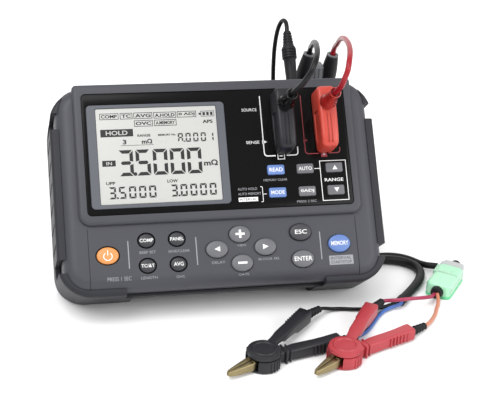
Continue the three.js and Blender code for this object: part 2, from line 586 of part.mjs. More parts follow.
addPiece(unit, 'front_cover', frontCover(), CASE_GREY);
addPiece(unit, 'rear_cover', rearCover(), CASE_GREY);
addPiece(unit, 'rubber_guard', guard(), RUBBER);
addPiece(unit, 'face_panel', facePanel(), GLOSS_BLACK);
addPiece(unit, 'lcd_bezel', lcdBezel(), plastic(0x69707a, 0.5));
addPiece(unit, 'lcd_module', lcdModule(), plastic(0xd7d7d4, 0.3));
addPiece(unit, 'terminal_block', terminalBlock(), BLACK);
addPiece(unit, 'main_board', mainBoard(), plastic(0x1f5a34, 0.6));
addPiece(unit, 'sensor_jack', sensorJack(), BLACK);
addPiece(unit, 'battery_pack', batteryPack(), plastic(0x3a4a6a, 0.4));
addPiece(unit, 'battery_cover', batteryCover(), CASE_GREY);
for (const [side, label] of [[-1, 'left'], [1, 'right']]) {
  addPiece(unit, `case_screw_${label}`, caseScrew(side), METAL);
}
for (const key of ROUND_KEYS) {
  addPiece(unit, `key_${key[0]}`, roundKey(key), plastic(key[6], 0.5));
}
for (const key of FLAT_KEYS) {
  addPiece(unit, `key_${key[0]}`, flatKey(key), plastic(key[3], 0.5));
}

const standPivot = new THREE.Group();
standPivot.position.set(0, STAND.y, STAND.z);
standPivot.rotation.x = THREE.MathUtils.degToRad(LEAN + STAND_SPLAY);
unit.add(standPivot);
addPiece(standPivot, 'stand', standFrame(), BLACK);

// Centre the instrument over the origin before the leads are added.
instrument.updateMatrixWorld(true);
const bounds = new THREE.Box3().setFromObject(instrument, true);
instrument.position.y = -(bounds.min.y + bounds.max.y) / 2;

addPiece(unit, 'black_plug', bananaPlug(SOCKET.x[0]), plastic(0x2b2c30, 0.5));
addPiece(unit, 'red_plug', bananaPlug(SOCKET.x[1]), plastic(0xd74b41, 0.5));
addPiece(unit, 'sensor_plug', sensorPlug(), BLACK);

const leads = new THREE.Group();
addPiece(leads, 'black_lead', tube(BLACK_LEAD, PLUG_LEAD, 14), BLACK);
addPiece(leads, 'red_lead', tube(RED_LEAD, PLUG_LEAD, 14), plastic(0xc8283c, 0.5));
addPiece(leads, 'sensor_cord', tube(SENSOR_LEAD, SENSOR_CORD, 12), BLACK);
addPiece(leads, 'sensor_tip', cone([51.5, 68.6, 71.6], [51.7, 68.4, 60], 2.2, 1.6), BLACK);
addPiece(leads, 'lead_junction', leadJunction(), plastic(0x77797c, 0.5));
addPiece(leads, 'cable_drop', tube(CABLE_DROP, MAIN_CABLE, 9, 10), BLACK);
addPiece(leads, 'cable_coil', coilRing(), BLACK);
addPiece(leads, 'cable_run', tube(CABLE_RUN, MAIN_CABLE, 9, 10), BLACK);
addPiece(leads, 'cable_split', cableSplit(), BLACK);
addPiece(leads, 'black_strand', tube(BLACK_STRAND, STRAND_BLACK, 10, 10), BLACK);
addPiece(leads, 'red_strand', tube(RED_STRAND, STRAND_RED, 7, 8), BLACK);
addPiece(leads, 'inline_connector', inlineConnector(), plastic(0xa5dcb9, 0.4));
addPiece(leads, 'crimson_wire', tube(CRIMSON_WIRE, CLIP_WIRE, 7), plastic(0xc83c64, 0.5));
addPiece(leads, 'orange_wire', tube(ORANGE_WIRE, CLIP_WIRE, 6), plastic(0xeba078, 0.5));
addPiece(leads, 'blue_wire', tube(BLUE_WIRE, CLIP_WIRE, 8), plastic(0x466ec8, 0.5));
addPiece(leads, 'black_wire', tube(BLACK_WIRE, CLIP_WIRE, 8), BLACK);

for (const clip of CLIPS) {
  const group = new THREE.Group();
  group.position.set(clip.x, clip.y, 0);
  group.rotation.z = THREE.MathUtils.degToRad(clip.turn);
  const grip = plastic(clip.color, 0.5);
  addPiece(group, `${clip.name}_clip_fixed_grip`, fixedGrip(), grip);
  addPiece(group, `${clip.name}_clip_moving_grip`, movingGrip(), grip);
  addPiece(group, `${clip.name}_clip_fixed_jaw`, jaw(-1), BRASS);
  addPiece(group, `${clip.name}_clip_moving_jaw`, jaw(1), BRASS);
  leads.add(group);
}

const meter = new THREE.Group();
meter.add(instrument, leads);

export default meter;
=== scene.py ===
import math

import bmesh
import bpy
from mathutils import Matrix, Vector


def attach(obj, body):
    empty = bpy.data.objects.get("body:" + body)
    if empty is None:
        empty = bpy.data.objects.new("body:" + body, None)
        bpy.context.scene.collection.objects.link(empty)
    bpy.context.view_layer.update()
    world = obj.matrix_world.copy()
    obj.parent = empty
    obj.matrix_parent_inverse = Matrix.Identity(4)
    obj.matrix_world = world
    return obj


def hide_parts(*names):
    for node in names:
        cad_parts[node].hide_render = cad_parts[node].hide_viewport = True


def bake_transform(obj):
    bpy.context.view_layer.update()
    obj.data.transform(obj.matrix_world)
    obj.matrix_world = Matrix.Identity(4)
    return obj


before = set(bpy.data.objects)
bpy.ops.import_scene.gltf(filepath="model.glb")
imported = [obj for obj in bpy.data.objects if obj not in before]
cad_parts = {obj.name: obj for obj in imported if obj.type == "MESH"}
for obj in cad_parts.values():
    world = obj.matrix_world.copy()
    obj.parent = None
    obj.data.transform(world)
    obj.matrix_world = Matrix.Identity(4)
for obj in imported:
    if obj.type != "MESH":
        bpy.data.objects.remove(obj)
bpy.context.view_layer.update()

# ---------- frame of the instrument ----------
MM = 0.001
LEAN = 39  # degrees that the face leans back from upright
ORIGIN = Vector((0, -0.02506, 0.077))  # zero of the face's axes, in metres; its z = 0 is the raised block's face
TILT = Matrix.Rotation(math.radians(90 - LEAN), 4, "X")
UNIT = Matrix.Translation(ORIGIN) @ TILT
UNIT_MM = Matrix.Translation(ORIGIN / MM) @ TILT
WORLD = Matrix.Identity(4)
ROOT = "instrument"

ROUND_KEYS = {
    # name: x, y, width, height, top, label, label width, label height, colour
    "power": (-70.2, -42.4, 12.9, 10, -1.9, "power", 6, 6.2, "orange"),
    "comp": (-47.1, -34.6, 9.4, 8.2, -2.1, "COMP", 8, 2.1, "dark"),
    "panel": (-29, -34.6, 9.4, 8.2, -2.1, "PANEL", 8, 2, "dark"),
    "tc": (-47.2, -49.6, 9.4, 8.2, -2.1, "TC/ΔT", 7.8, 2.1, "dark"),
    "avg": (-29, -49.6, 9.4, 8.2, -2.1, "AVG", 5.8, 2.3, "dark"),
    "left": (-5.6, -42.2, 13.2, 10.3, -0.95, "<", 3.4, 3.2, "grey"),
    "plus": (8.8, -33.8, 13, 10.2, -0.95, "+", 5.6, 5, "grey"),
    "minus": (9, -51.2, 13, 10.2, -0.95, "-", 5.6, 1.3, "grey"),
    "right": (23.7, -42.2, 13.2, 10.3, -0.95, ">", 3.4, 3.2, "grey"),
    "esc": (45.9, -34.4, 13.4, 10.4, -0.95, "ESC", 7.3, 2.6, "dark_grey"),
    "enter": (46, -50.7, 13.6, 10.4, -0.95, "ENTER", 10.9, 2.7, "grey"),
    "memory": (69.2, -42.5, 13.6, 10.8, -0.95, "MEMORY", 10.6, 2.6, "blue"),
}
FLAT_KEYS = {
    # name: x, y, label, label width, label height, colour
    "read": (33.8, 4, "READ", 8.2, 2.4, "blue"),
    "mode": (33.7, -10, "MODE", 8.2, 2.3, "blue"),
    "auto": (51.9, 4, "AUTO", 8.3, 2.2, "grey"),
    "zero_adjust": (52, -10, "0ADJ", 8.2, 2.2, "grey"),
    "range_up": (70, 4, "up", 3.2, 2.7, "grey"),
    "range_down": (69.9, -10, "down", 3.2, 2.6, "grey"),
}


def new_object(name, data):
    o = bpy.data.objects.new(name, data)
    bpy.context.scene.collection.objects.link(o)
    return o


# ---------- camera ----------
def make_camera():
    """The camera that was fitted to the photo."""
    data = bpy.data.cameras.new("camera")
    data.lens = 94.505
    data.sensor_width = 36
    data.clip_start = 0.02
    camera = new_object("camera", data)
    camera.location = ORIGIN + Vector((-0.13576, -0.69143, 0.34487))
    camera.rotation_euler = [math.radians(a) for a in (63.018, -2.7415, -11.166)]
    bpy.context.scene.camera = camera


make_camera()


# ---------- geometry: a part is (vertices in mm, faces) ----------
def rounded_rect(x0, x1, y0, y1, radii, steps=8):
    """Corner radii run top left, top right, bottom right, bottom left; points run anticlockwise."""
    tl, tr, br, bl = radii if isinstance(radii, (tuple, list)) else (radii,) * 4
    points = []
    corners = (
        (x1 - br, y0 + br, br, -90), (x1 - tr, y1 - tr, tr, 0),
        (x0 + tl, y1 - tl, tl, 90), (x0 + bl, y0 + bl, bl, 180),
    )
    for cx, cy, r, start in corners:
        for i in range(steps + 1):
            a = math.radians(start + 90 * i / steps)
            points.append((cx + r * math.cos(a), cy + r * math.sin(a)))
    return points


def circle(steps):
    """(cosine, sine) pairs once round."""
    angles = [2 * math.pi * i / steps for i in range(steps)]
    return [(math.cos(a), math.sin(a)) for a in angles]


def arc(cx, cy, r, a0, a1, steps):
    """Angles are in degrees."""
    angles = [math.radians(a0 + (a1 - a0) * i / steps) for i in range(steps + 1)]
    return [(cx + r * math.cos(a), cy + r * math.sin(a)) for a in angles]


def oval(cx, cy, w, h, steps=40):
    return [(cx + w / 2 * c, cy + h / 2 * s) for c, s in circle(steps)]


def loft(rings, closed=False):
    """A skin over the rings: a ring of rings if closed, and otherwise capped at both ends."""
    n, rows = len(rings[0]), len(rings)
    verts = [p for ring in rings for p in ring]
    faces = []
    for k in range(rows if closed else rows - 1):
        a, b = k * n, ((k + 1) % rows) * n
        faces += [(a + i, a + (i + 1) % n, b + (i + 1) % n, b + i) for i in range(n)]
    if not closed:
        faces += [tuple(reversed(range(n))), tuple(range((rows - 1) * n, rows * n))]
    return verts, faces


def levels(z0, z1, low, high, steps=6):
    """(inset, z) pairs up a wall whose two edges are rounded by low and high."""
    out = []
    for i in range(steps + 1 if low else 1):
        a = math.radians(90 * i / steps)
        out.append((low * (1 - math.sin(a)), z0 + low * (1 - math.cos(a))))
    for i in range(steps + 1 if high else 1):
        a = math.radians(90 * i / steps)
        out.append((high * (1 - math.cos(a)), z1 - high * (1 - math.sin(a))))
    return out


def slab(x0, x1, y0, y1, radii, z0, z1, low=0.0, high=0.0, steps=6, corner=8):
    """A rounded rectangle from z0 to z1; low and high round its lower and upper edge."""
    radii = radii if isinstance(radii, (tuple, list)) else (radii,) * 4
    rings = []
    for inset, z in levels(z0, z1, low, high, steps):
        inner = [max(r - inset, 0.15) for r in radii]
        ring = rounded_rect(x0 + inset, x1 - inset, y0 + inset, y1 - inset, inner, corner)
        rings.append([(x, y, z) for x, y in ring])
    return loft(rings)


def plate(cx, cy, w, h, r, z0, z1, low=0.0, high=0.0, steps=4, corner=6):
    return slab(cx - w / 2, cx + w / 2, cy - h / 2, cy + h / 2, r, z0, z1, low, high, steps, corner)


def row(count, step, x0, x1, *rest):
    """Equal slabs, one after the other along x."""
    return [slab(x0 + step * i, x1 + step * i, *rest) for i in range(count)]


def block(x0, x1, y0, y1, z0, z1):
    return slab(x0, x1, y0, y1, 0.15, z0, z1, 0, 0, 1, 1)


def lathe(profile, segments=32):
    """Turns an open (radius, height) profile about Z and caps both of its ends."""
    return loft([[(r * c, r * s, h) for c, s in circle(segments)] for r, h in profile])


def smooth_line(points, per=6):
    """Centripetal Catmull-Rom curve through the points, with per steps from each to the next."""
    pts = [Vector(p) for p in points]
    pts = [2 * pts[0] - pts[1], *pts, 2 * pts[-1] - pts[-2]]
    out = []
    for k in range(1, len(pts) - 2):
        p0, p1, p2, p3 = pts[k - 1:k + 3]
        t0 = 0
        t1 = t0 + (p1 - p0).length ** 0.5
        t2 = t1 + (p2 - p1).length ** 0.5
        t3 = t2 + (p3 - p2).length ** 0.5
        for i in range(per):
            t = t1 + (t2 - t1) * i / per
            a1 = (t1 - t) / (t1 - t0) * p0 + (t - t0) / (t1 - t0) * p1
            a2 = (t2 - t) / (t2 - t1) * p1 + (t - t1) / (t2 - t1) * p2
            a3 = (t3 - t) / (t3 - t2) * p2 + (t - t2) / (t3 - t2) * p3
            b1 = (t2 - t) / (t2 - t0) * a1 + (t - t0) / (t2 - t0) * a2
            b2 = (t3 - t) / (t3 - t1) * a2 + (t - t1) / (t3 - t1) * a3
            out.append((t2 - t) / (t2 - t1) * b1 + (t - t1) / (t2 - t1) * b2)
    out.append(pts[-2])
    return out


def tube(path, radius, sides=16):
    """A closed tube along the path; radius is a number or a function of the length along it."""
    tangents = []
    for i, p in enumerate(path):
        tangents.append((path[min(i + 1, len(path) - 1)] - path[max(i - 1, 0)]).normalized())
    side = tangents[0].orthogonal().normalized()
    rings = []
    run = 0.0
    for i, p in enumerate(path):
        if i:
            run += (p - path[i - 1]).length
            side = (side - side.dot(tangents[i]) * tangents[i]).normalized()
        up = tangents[i].cross(side)
        r = radius(run) if callable(radius) else radius
        rings.append([tuple(p + r * (c * side + s * up)) for c, s in circle(sides)])
    return loft(rings)


def straight(a, b, steps):
    a, b = Vector(a), Vector(b)
    return [a.lerp(b, i / steps) for i in range(steps + 1)]


def ribbed(r0, r1, length, ribs, depth):
    """Radius of a tapered strain relief with moulded ribs."""
    def radius(s):
        t = min(max(s / length, 0), 1)
        wave = 0.5 - 0.5 * math.cos(2 * math.pi * ribs * t)
        return r0 + (r1 - r0) * t - depth * wave
    return radius


def moved(part, matrix):
    verts, faces = part
    return [tuple(matrix @ Vector(v)) for v in verts], faces


def turned(part, axis, degrees, move=(0, 0, 0)):
    return moved(part, Matrix.Translation(move) @ Matrix.Rotation(math.radians(degrees), 4, axis))


def joined(*parts):
    verts, faces = [], []
    for v, f in parts:
        base = len(verts)
        verts += v
        faces += [tuple(i + base for i in face) for face in f]
    return verts, faces


def as_mesh(name, part, matrix=WORLD):
    mesh = bpy.data.meshes.new(name)
    mesh.from_pydata([matrix @ Vector(v) for v in part[0]], [], part[1])
    mesh.update()
    return mesh


def evaluated(o):
    """The mesh that an object's modifiers or lettering come to."""
    return bpy.data.meshes.new_from_object(o.evaluated_get(bpy.context.evaluated_depsgraph_get()))


def boolean(part, cutters, operation="DIFFERENCE"):
    """Applies the cutters to a part one after the other."""
    target = new_object("cut_target", as_mesh("cut_target", part))
    tools = []
    for cutter in cutters:
        tool = new_object("cut_tool", as_mesh("cut_tool", cutter))
        tools.append(tool)
        modifier = target.modifiers.new("cut", "BOOLEAN")
        modifier.operation = operation
        modifier.solver = "EXACT"
        modifier.object = tool
    result = evaluated(target)
    out = [tuple(v.co) for v in result.vertices], [tuple(p.vertices) for p in result.polygons]
    for o in [target, *tools]:
        bpy.data.objects.remove(o)
    return out


def cut(part, *cutters):
    """Cuts the cutters, which mustn't overlap each other, from a part."""
    return boolean(part, [joined(*cutters)])


def side_view(points, x0, x1):
    """Extrudes a (y, z) outline along x."""
    area = sum(ay * bz - by * az for (ay, az), (by, bz) in zip([points[-1], *points], points))
    points = points if area > 0 else points[::-1]
    return loft([[(x, y, z) for y, z in points] for x in (x0, x1)])


# ---------- printed marks ----------
def flat(points, z):
    return [(x, y, z) for x, y in points], [tuple(range(len(points)))]


def stroke(points, width, z, closed=False):
    """A flat line with mitred corners."""
    pts = [Vector((x, y)) for x, y in points]
    n = len(pts)
    left, right = [], []
    for i, p in enumerate(pts):
        before = pts[i - 1] if closed or i else None
        after = pts[(i + 1) % n] if closed or i < n - 1 else None
        d0 = (p - before).normalized() if before is not None else (after - p).normalized()
        d1 = (after - p).normalized() if after is not None else d0
        normal = Vector((-d0.y - d1.y, d0.x + d1.x)).normalized()
        reach = width / 2 / max(normal.dot(Vector((-d0.y, d0.x))), 0.4)
        left.append(p + normal * reach)
        right.append(p - normal * reach)
    verts = [(p.x, p.y, z) for p in left + right]
    count = n if closed else n - 1
    faces = [(n + i, n + (i + 1) % n, (i + 1) % n, i) for i in range(count)]
    return verts, faces


def text(label, x0, x1, y0, y1, z, weight=0.0):
    """Lettering in the built-in font, fitted to a rectangle."""
    curve = bpy.data.curves.new("lettering", "FONT")
    curve.body = label
    curve.resolution_u = 3
    curve.offset = weight
    o = new_object("lettering", curve)
    mesh = evaluated(o)
    bpy.data.objects.remove(o)
    xs = [v.co.x for v in mesh.vertices]
    ys = [v.co.y for v in mesh.vertices]
    sx, sy = (x1 - x0) / (max(xs) - min(xs)), (y1 - y0) / (max(ys) - min(ys))
    verts = [(x0 + (v.co.x - min(xs)) * sx, y0 + (v.co.y - min(ys)) * sy, z) for v in mesh.vertices]
    faces = [tuple(p.vertices) for p in mesh.polygons]
    a, b, c = (Vector(verts[i]) for i in faces[0][:3])
    if (b - a).cross(c - b).z < 0:
        faces = [face[::-1] for face in faces]
    return verts, faces


def rect(x0, x1, y0, y1, z):
    return flat([(x0, y0), (x1, y0), (x1, y1), (x0, y1)], z)


SEGMENTS = {"0": "abcdef", "1": "bc", "3": "abcdg", "5": "acdfg", "A": "abcefg"}


def digit(ch, x, y, w, h, t, z):
    """A seven-segment character, w by h, with mitred bars t thick."""
    g = t * 0.1  # half of the gap between bars
    m = y + h / 2
    parts = []
    across = {"a": y + h - t / 2, "g": m, "d": y + t / 2}
    for name in SEGMENTS[ch]:
        if name in across:
            c = across[name]
            if name == "g":
                bar = [(x + g + t / 2, c), (x + t, c - t / 2), (x + w - t, c - t / 2),
                       (x + w - t / 2 - g, c), (x + w - t, c + t / 2), (x + t, c + t / 2)]
            else:
                s = 1 if name == "a" else -1
                bar = [(x + g * 2, c + s * t / 2), (x + t + g, c - s * t / 2),
                       (x + w - t - g, c - s * t / 2), (x + w - g * 2, c + s * t / 2)]
                bar = bar if s > 0 else bar[::-1]
        else:
            outer, inner = (x, x + t) if name in "ef" else (x + w, x + w - t)
            low, high = (m + g, y + h - g * 2) if name in "bf" else (y + g * 2, m - g)
            if name in "bf":
                bar = [(outer, low + t * 0.25), (inner, low + t / 2), (inner, high - t), (outer, high)]
            else:
                bar = [(outer, low), (inner, low + t), (inner, high - t / 2), (outer, high - t * 0.25)]
            bar = bar if name in "bc" else bar[::-1]
        parts.append(flat(bar, z))
    return joined(*parts)


def number(label, x, y, pitch, w, h, t, z):
    """Characters pitch apart; a point sits in the gap before the next one."""
    parts = []
    for ch in label:
        if ch == ".":
            parts.append(flat(oval(x - (pitch - w) / 2, y + t * 0.5, t * 1.1, t * 1.1, 12), z))
        else:
            parts.append(digit(ch, x, y, w, h, t, z))
            x += pitch
    return joined(*parts)


# ---------- materials ----------
GRAIN_DEPTH = 0.0002
COAT_ROUGHNESS = 0.08
SCATTER_RADIUS = 0.004


def colour(code):
    """Linear colour of an sRGB hex code."""
    values = [int(code[i:i + 2], 16) / 255 for i in (0, 2, 4)]
    return [v / 12.92 if v <= 0.04045 else ((v + 0.055) / 1.055) ** 2.4 for v in values] + [1.0]


def material(name, code, rough=0.5, grain=900.0, bump=0.05, mottle=0.12, patch=60.0, rough_spread=0.08,
             metallic=0.0, coat=0.0, specular=0.5, scatter=0.0, voronoi=False):
    """Moulded material: fine grain in the bump, slow patches in the colour and the roughness."""
    m = bpy.data.materials.new(name)
    m.use_nodes = True
    nodes, links = m.node_tree.nodes, m.node_tree.links
    shader = nodes["Principled BSDF"]
    place = nodes.new("ShaderNodeTexCoord")

    def noise(scale, detail):
        n = nodes.new("ShaderNodeTexNoise")
        n.inputs["Scale"].default_value = scale
        n.inputs["Detail"].default_value = detail
        links.new(place.outputs["Object"], n.inputs["Vector"])
        return n.outputs["Fac"]

    base = colour(code)
    slow, fine = noise(patch, 3), noise(grain, 2)
    ramp = nodes.new("ShaderNodeValToRGB")
    for stop, place_on_ramp, gain in zip(ramp.color_ramp.elements, (0.3, 0.7), (1 - mottle, 1 + mottle)):
        stop.position = place_on_ramp
        stop.color = [min(c * gain, 1) for c in base[:3]] + [1]
    mix = nodes.new("ShaderNodeMath")  # half of the fine noise and half of the slow
    mix.operation = "MULTIPLY_ADD"
    mix.inputs[1].default_value = 0.5
    links.new(fine, mix.inputs[0])
    half = nodes.new("ShaderNodeMath")
    half.operation = "MULTIPLY"
    half.inputs[1].default_value = 0.5
    links.new(slow, half.inputs[0])
    links.new(half.outputs[0], mix.inputs[2])
    links.new(mix.outputs[0], ramp.inputs["Fac"])
    links.new(ramp.outputs["Color"], shader.inputs["Base Color"])
    spread = nodes.new("ShaderNodeMapRange")
    spread.inputs["To Min"].default_value = max(rough - rough_spread, 0.02)
    spread.inputs["To Max"].default_value = min(rough + rough_spread, 1.0)
    links.new(slow, spread.inputs["Value"])
    links.new(spread.outputs["Result"], shader.inputs["Roughness"])
    relief = nodes.new("ShaderNodeBump")
    relief.inputs["Strength"].default_value = bump
    relief.inputs["Distance"].default_value = GRAIN_DEPTH
    height = fine
    if voronoi:
        cells = nodes.new("ShaderNodeTexVoronoi")
        cells.inputs["Scale"].default_value = grain
        links.new(place.outputs["Object"], cells.inputs["Vector"])
        height = cells.outputs["Distance"]
    links.new(height, relief.inputs["Height"])
    links.new(relief.outputs["Normal"], shader.inputs["Normal"])
    shader.inputs["Metallic"].default_value = metallic
    shader.inputs["Coat Weight"].default_value = coat
    shader.inputs["Coat Roughness"].default_value = COAT_ROUGHNESS
    shader.inputs["Specular IOR Level"].default_value = specular
    if scatter:
        shader.inputs["Subsurface Weight"].default_value = scatter
        shader.inputs["Subsurface Radius"].default_value = (SCATTER_RADIUS,) * 3
        shader.inputs["Subsurface Scale"].default_value = 1.0
    m.diffuse_color = base
    return m


CASE = material("case_grey", "393a40", 0.46, 2600, 0.18, 0.06, 30, 0.06, specular=0.35, voronoi=True)
GUARD = material("guard_elastomer", "212227", 0.5, 2200, 0.25, 0.10, 25, 0.08, specular=0.28, voronoi=True)
PANEL = material("panel_gloss", "060606", 0.2, 700, 0.01, 0.25, 20, 0.04, specular=0.12)
BEZEL = material("display_border", "474a51", 0.45, 1800, 0.05, 0.05, 25, 0.05)
GLASS = material("display_ground", "acaca9", 0.3, 3500, 0.03, 0.03, 12, 0.05, specular=0.3)
INK = material("display_ink", "040405", 0.35, 900, 0.02, 0.1, 60, 0.05)
WHITE = material("print_white", "d9d9d9", 0.5, 1200, 0.03, 0.04, 60, 0.05)
PALE = material("print_pale", "85878c", 0.55, 1200, 0.03, 0.06, 60, 0.05)
WINE = material("print_wine", "7a1c29", 0.5, 1200, 0.03, 0.08, 60, 0.05)
DARK = material("shadow_plastic", "0d0d0e", 0.6, 900, 0.05, 0.15)
KEYS = {
    "orange": material("key_orange", "c98347", 0.48, 2400, 0.12, 0.10, 90, 0.06, scatter=0.05),
    "blue": material("key_blue", "5470a8", 0.45, 2400, 0.08, 0.07, 90, 0.06, scatter=0.05),
    "grey": material("key_grey", "58595d", 0.5, 2400, 0.16, 0.10, 90, 0.06),
    "dark": material("key_dark", "232529", 0.5, 2400, 0.16, 0.10, 90, 0.06),
    "dark_grey": material("key_dark_grey", "2d2e33", 0.5, 2400, 0.16, 0.10, 90, 0.06),
}
BLACK_PLUG = material("plug_black", "1c1c21", 0.38, 1500, 0.06, 0.12, 60, 0.08, specular=0.3)
RED_PLUG = material("plug_red", "b43a2c", 0.36, 1500, 0.05, 0.06, 60, 0.08, scatter=0.05)
WINE_SLEEVE = material("sleeve_red", "92201c", 0.22, 1500, 0.03, 0.08, 60, 0.05, coat=0.4)
BLACK_SLEEVE = material("sleeve_black", "0a0a0b", 0.2, 1500, 0.03, 0.15, 60, 0.05, coat=0.4, specular=0.35)
BLACK_CORD = material("cord_black", "0b0b0d", 0.34, 1800, 0.06, 0.2, 120, 0.08, specular=0.25)
MAT_CORD = material("cable_black", "0c0c0e", 0.45, 1800, 0.10, 0.2, 120, 0.08, specular=0.25)
RED_CORD = material("cord_red", "8c121f", 0.3, 1800, 0.04, 0.08, 120, 0.06, specular=0.3)
CRIMSON = material("wire_crimson", "962448", 0.4, 1800, 0.05, 0.08, 120, 0.06)
ORANGE = material("wire_orange", "b8755a", 0.4, 1800, 0.05, 0.06, 120, 0.06)
BLUE = material("wire_blue", "3a60a4", 0.4, 1800, 0.05, 0.08, 120, 0.06)
MOULDED = material("moulded_black", "121215", 0.5, 1600, 0.12, 0.15, 80, 0.1, specular=0.25)
JUNCTION = material("junction_grey", "5c5e61", 0.45, 1600, 0.06, 0.08, 60, 0.06)
CLIP_BLACK = material("clip_black", "1e1e22", 0.42, 1600, 0.12, 0.12, 70, 0.1, specular=0.35)
CLIP_RED = material("clip_red", "a23038", 0.4, 1600, 0.08, 0.08, 70, 0.08, scatter=0.04)
BRASS = material("jaw_brass", "8c7f5e", 0.34, 1400, 0.15, 0.2, 140, 0.12, metallic=1.0)
MINT = material("mint_shell", "9bd0ae", 0.3, 1300, 0.05, 0.08, 90, 0.06, scatter=0.5, coat=0.2)
MINT_EDGE = material("mint_edge", "55bd82", 0.32, 1300, 0.05, 0.08, 90, 0.06, scatter=0.4)
CAP = material("cap_grey", "a4a8a7", 0.4, 1300, 0.06, 0.06, 90, 0.06)
STEEL = material("screw_steel", "a8abb0", 0.3, 1500, 0.08, 0.12, 140, 0.1, metallic=1.0)
BOARD = material("solder_mask", "1d5a33", 0.45, 800, 0.06, 0.2, 150, 0.1)
CELLS = material("cell_sleeve", "4a5a80", 0.35, 900, 0.05, 0.15, 60, 0.1)


# ---------- pieces ----------
def piece(name, part, mat, body=ROOT, nodes=(), matrix=UNIT, angle=32, slot=None, weld=True):
    """One object: angle, in degrees, is the sharpest edge that is still shaded smooth."""
    mesh = as_mesh(name, part, matrix)
    mesh.materials.append(mat)
    if weld:
        bm = bmesh.new()
        bm.from_mesh(mesh)
        bmesh.ops.remove_doubles(bm, verts=bm.verts, dist=1e-7)
        bmesh.ops.dissolve_degenerate(bm, edges=bm.edges, dist=1e-8)
        bm.to_mesh(mesh)
        bm.free()
    mesh.shade_smooth()
    mesh.set_sharp_from_angle(angle=math.radians(angle))
    o = new_object(name, mesh)
    if body:
        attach(o, body)
    if nodes:
        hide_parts(*nodes)
    return o


def unit_part(part):
    """The part in metres."""
    return [tuple(Vector(v) * MM) for v in part[0]], part[1]


def local(name, part, mat, **options):
    """A piece drawn in millimetres in the instrument's face axes."""
    return piece(name, unit_part(part), mat, **options)


def table(name, part, mat, **options):
    """A piece drawn in millimetres from the table."""
    return piece(name, unit_part(part), mat, matrix=WORLD, **options)


# ---------- cords ----------
def cord(name, points, diameter, mat, nodes, body=ROOT, sides=16,
         slot="black_cord", per=6):
    """A cord along the points; diameter is in millimetres, like the points."""
    line = smooth_line(points, per)
    o = table(name, tube(line, diameter / 2, sides), mat, body=body, nodes=nodes, slot=slot, angle=60)
    return o


BLACK_LEAD = [
    (39.2, -29.5, 132.5), (39.5, -32.9, 135.2), (42, -38, 141), (44.8, -40.8, 147.2), (47, -41, 151.5),
    (49.7, -37, 155.4), (52.6, -28, 157), (55.6, -15, 155.6), (59.1, 0, 151.7), (63, 18, 145.9),
    (66.4, 34, 139.4), (69.6, 49, 131.6), (71, 55.6, 129), (71.9, 60.2, 125.8), (71.9, 61.4, 122.6),
]
RED_LEAD = [
    (65.2, -29.5, 132.5), (65.3, -32.9, 135.2), (65.9, -38, 140), (66.6, -41, 146), (67.8, -41.2, 150.6),
    (69.5, -37, 154.9), (72.2, -28, 156.6), (75.4, -14, 155.6), (78.5, 2, 152.4), (81.3, 18, 148),
    (84.2, 35, 141.2), (86.4, 49, 132.6), (87.3, 55.8, 128.6), (87.7, 60, 124.8), (87.6, 61.3, 121.6),
]
SENSOR_LEAD = [
    (55.5, 59.9, 138.3), (55.6, 61.6, 140.4), (55.6, 64.6, 142.2), (55, 67.6, 142.6), (54, 70, 141),
    (52.6, 71.2, 137), (51.4, 71.4, 130.6), (50.6, 71, 122), (50.4, 70.4, 112), (50.6, 69.8, 102), (51, 69.2, 92),
    (51.3, 68.8, 82), (51.5, 68.6, 72),
]
BLACK_STRAND = [
    (108.4, -5, 3.2), (113, -5.4, 3.2), (118.5, -6.4, 3.2), (124.5, -8.6, 3.2), (129.6, -12.4, 3.2),
    (132.6, -17.6, 3.2), (133, -24, 3.2), (130.6, -31, 3.2), (125.8, -38.6, 3.2), (119.6, -46.2, 3.2),
    (113.6, -53, 3.2), (109.5, -57.3, 3.2),
]
RED_STRAND = [
    (108.4, 0.4, 2.5), (114, 0.6, 2.5), (120, 0.2, 2.5), (126.8, -2.2, 2.5), (132.2, -6.6, 2.6), (136, -12, 2.9),
    (139.4, -17, 4), (144.2, -20.6, 5),
]
CRIMSON_WIRE = [
    (132.4, -53.6, 4.2), (129.4, -57, 5), (124.3, -60.1, 6.5), (119.4, -62.2, 7.7), (114.6, -63.4, 8.4),
    (110.4, -64.2, 8.8), (106.7, -64.2, 8.6), (102.8, -62.6, 7.6), (99.6, -60.7, 6.4), (97.1, -59.7, 5.7),
]
ORANGE_WIRE = [
    (134.4, -55.1, 4), (133.8, -58.6, 2.6), (132.4, -62.2, 1.6), (130.4, -65.9, 1.3), (128.2, -70.6, 1.3),
    (125.5, -74.9, 1.4), (122.6, -79, 1.7), (119.4, -82.6, 2.1), (116.3, -85.5, 2.5),
]
BLUE_WIRE = [
    (110.1, -58.5, 3.2), (108.4, -60.2, 2.8), (103, -61.6, 2), (97.6, -64.2, 1.5), (92.6, -69, 1.3),
    (88.2, -75, 1.3), (84, -80.8, 1.3), (79.5, -86.2, 1.5), (75.5, -89.6, 2), (72.4, -91.6, 2.4),
]
BLACK_WIRE = [
    (108.3, -56.8, 3.2), (102, -59.2, 2), (95, -60.6, 1.5), (87, -61, 1.5), (79, -60.2, 1.5), (71, -58.8, 1.5),
    (64.5, -59.6, 2.4), (59.5, -61.6, 4.2), (56.3, -63.9, 5.6),
]
CABLE_DROP = [
    (77, 65.5, 81.7), (77, 65.6, 72), (76.6, 66, 61), (75.4, 66.8, 50), (72.6, 68.2, 39.5), (67.8, 69.8, 30.5),
    (61, 71.2, 23.6), (51, 72.5, 18.2), (42, 73, 16.4), (34, 73, 16.25),
]
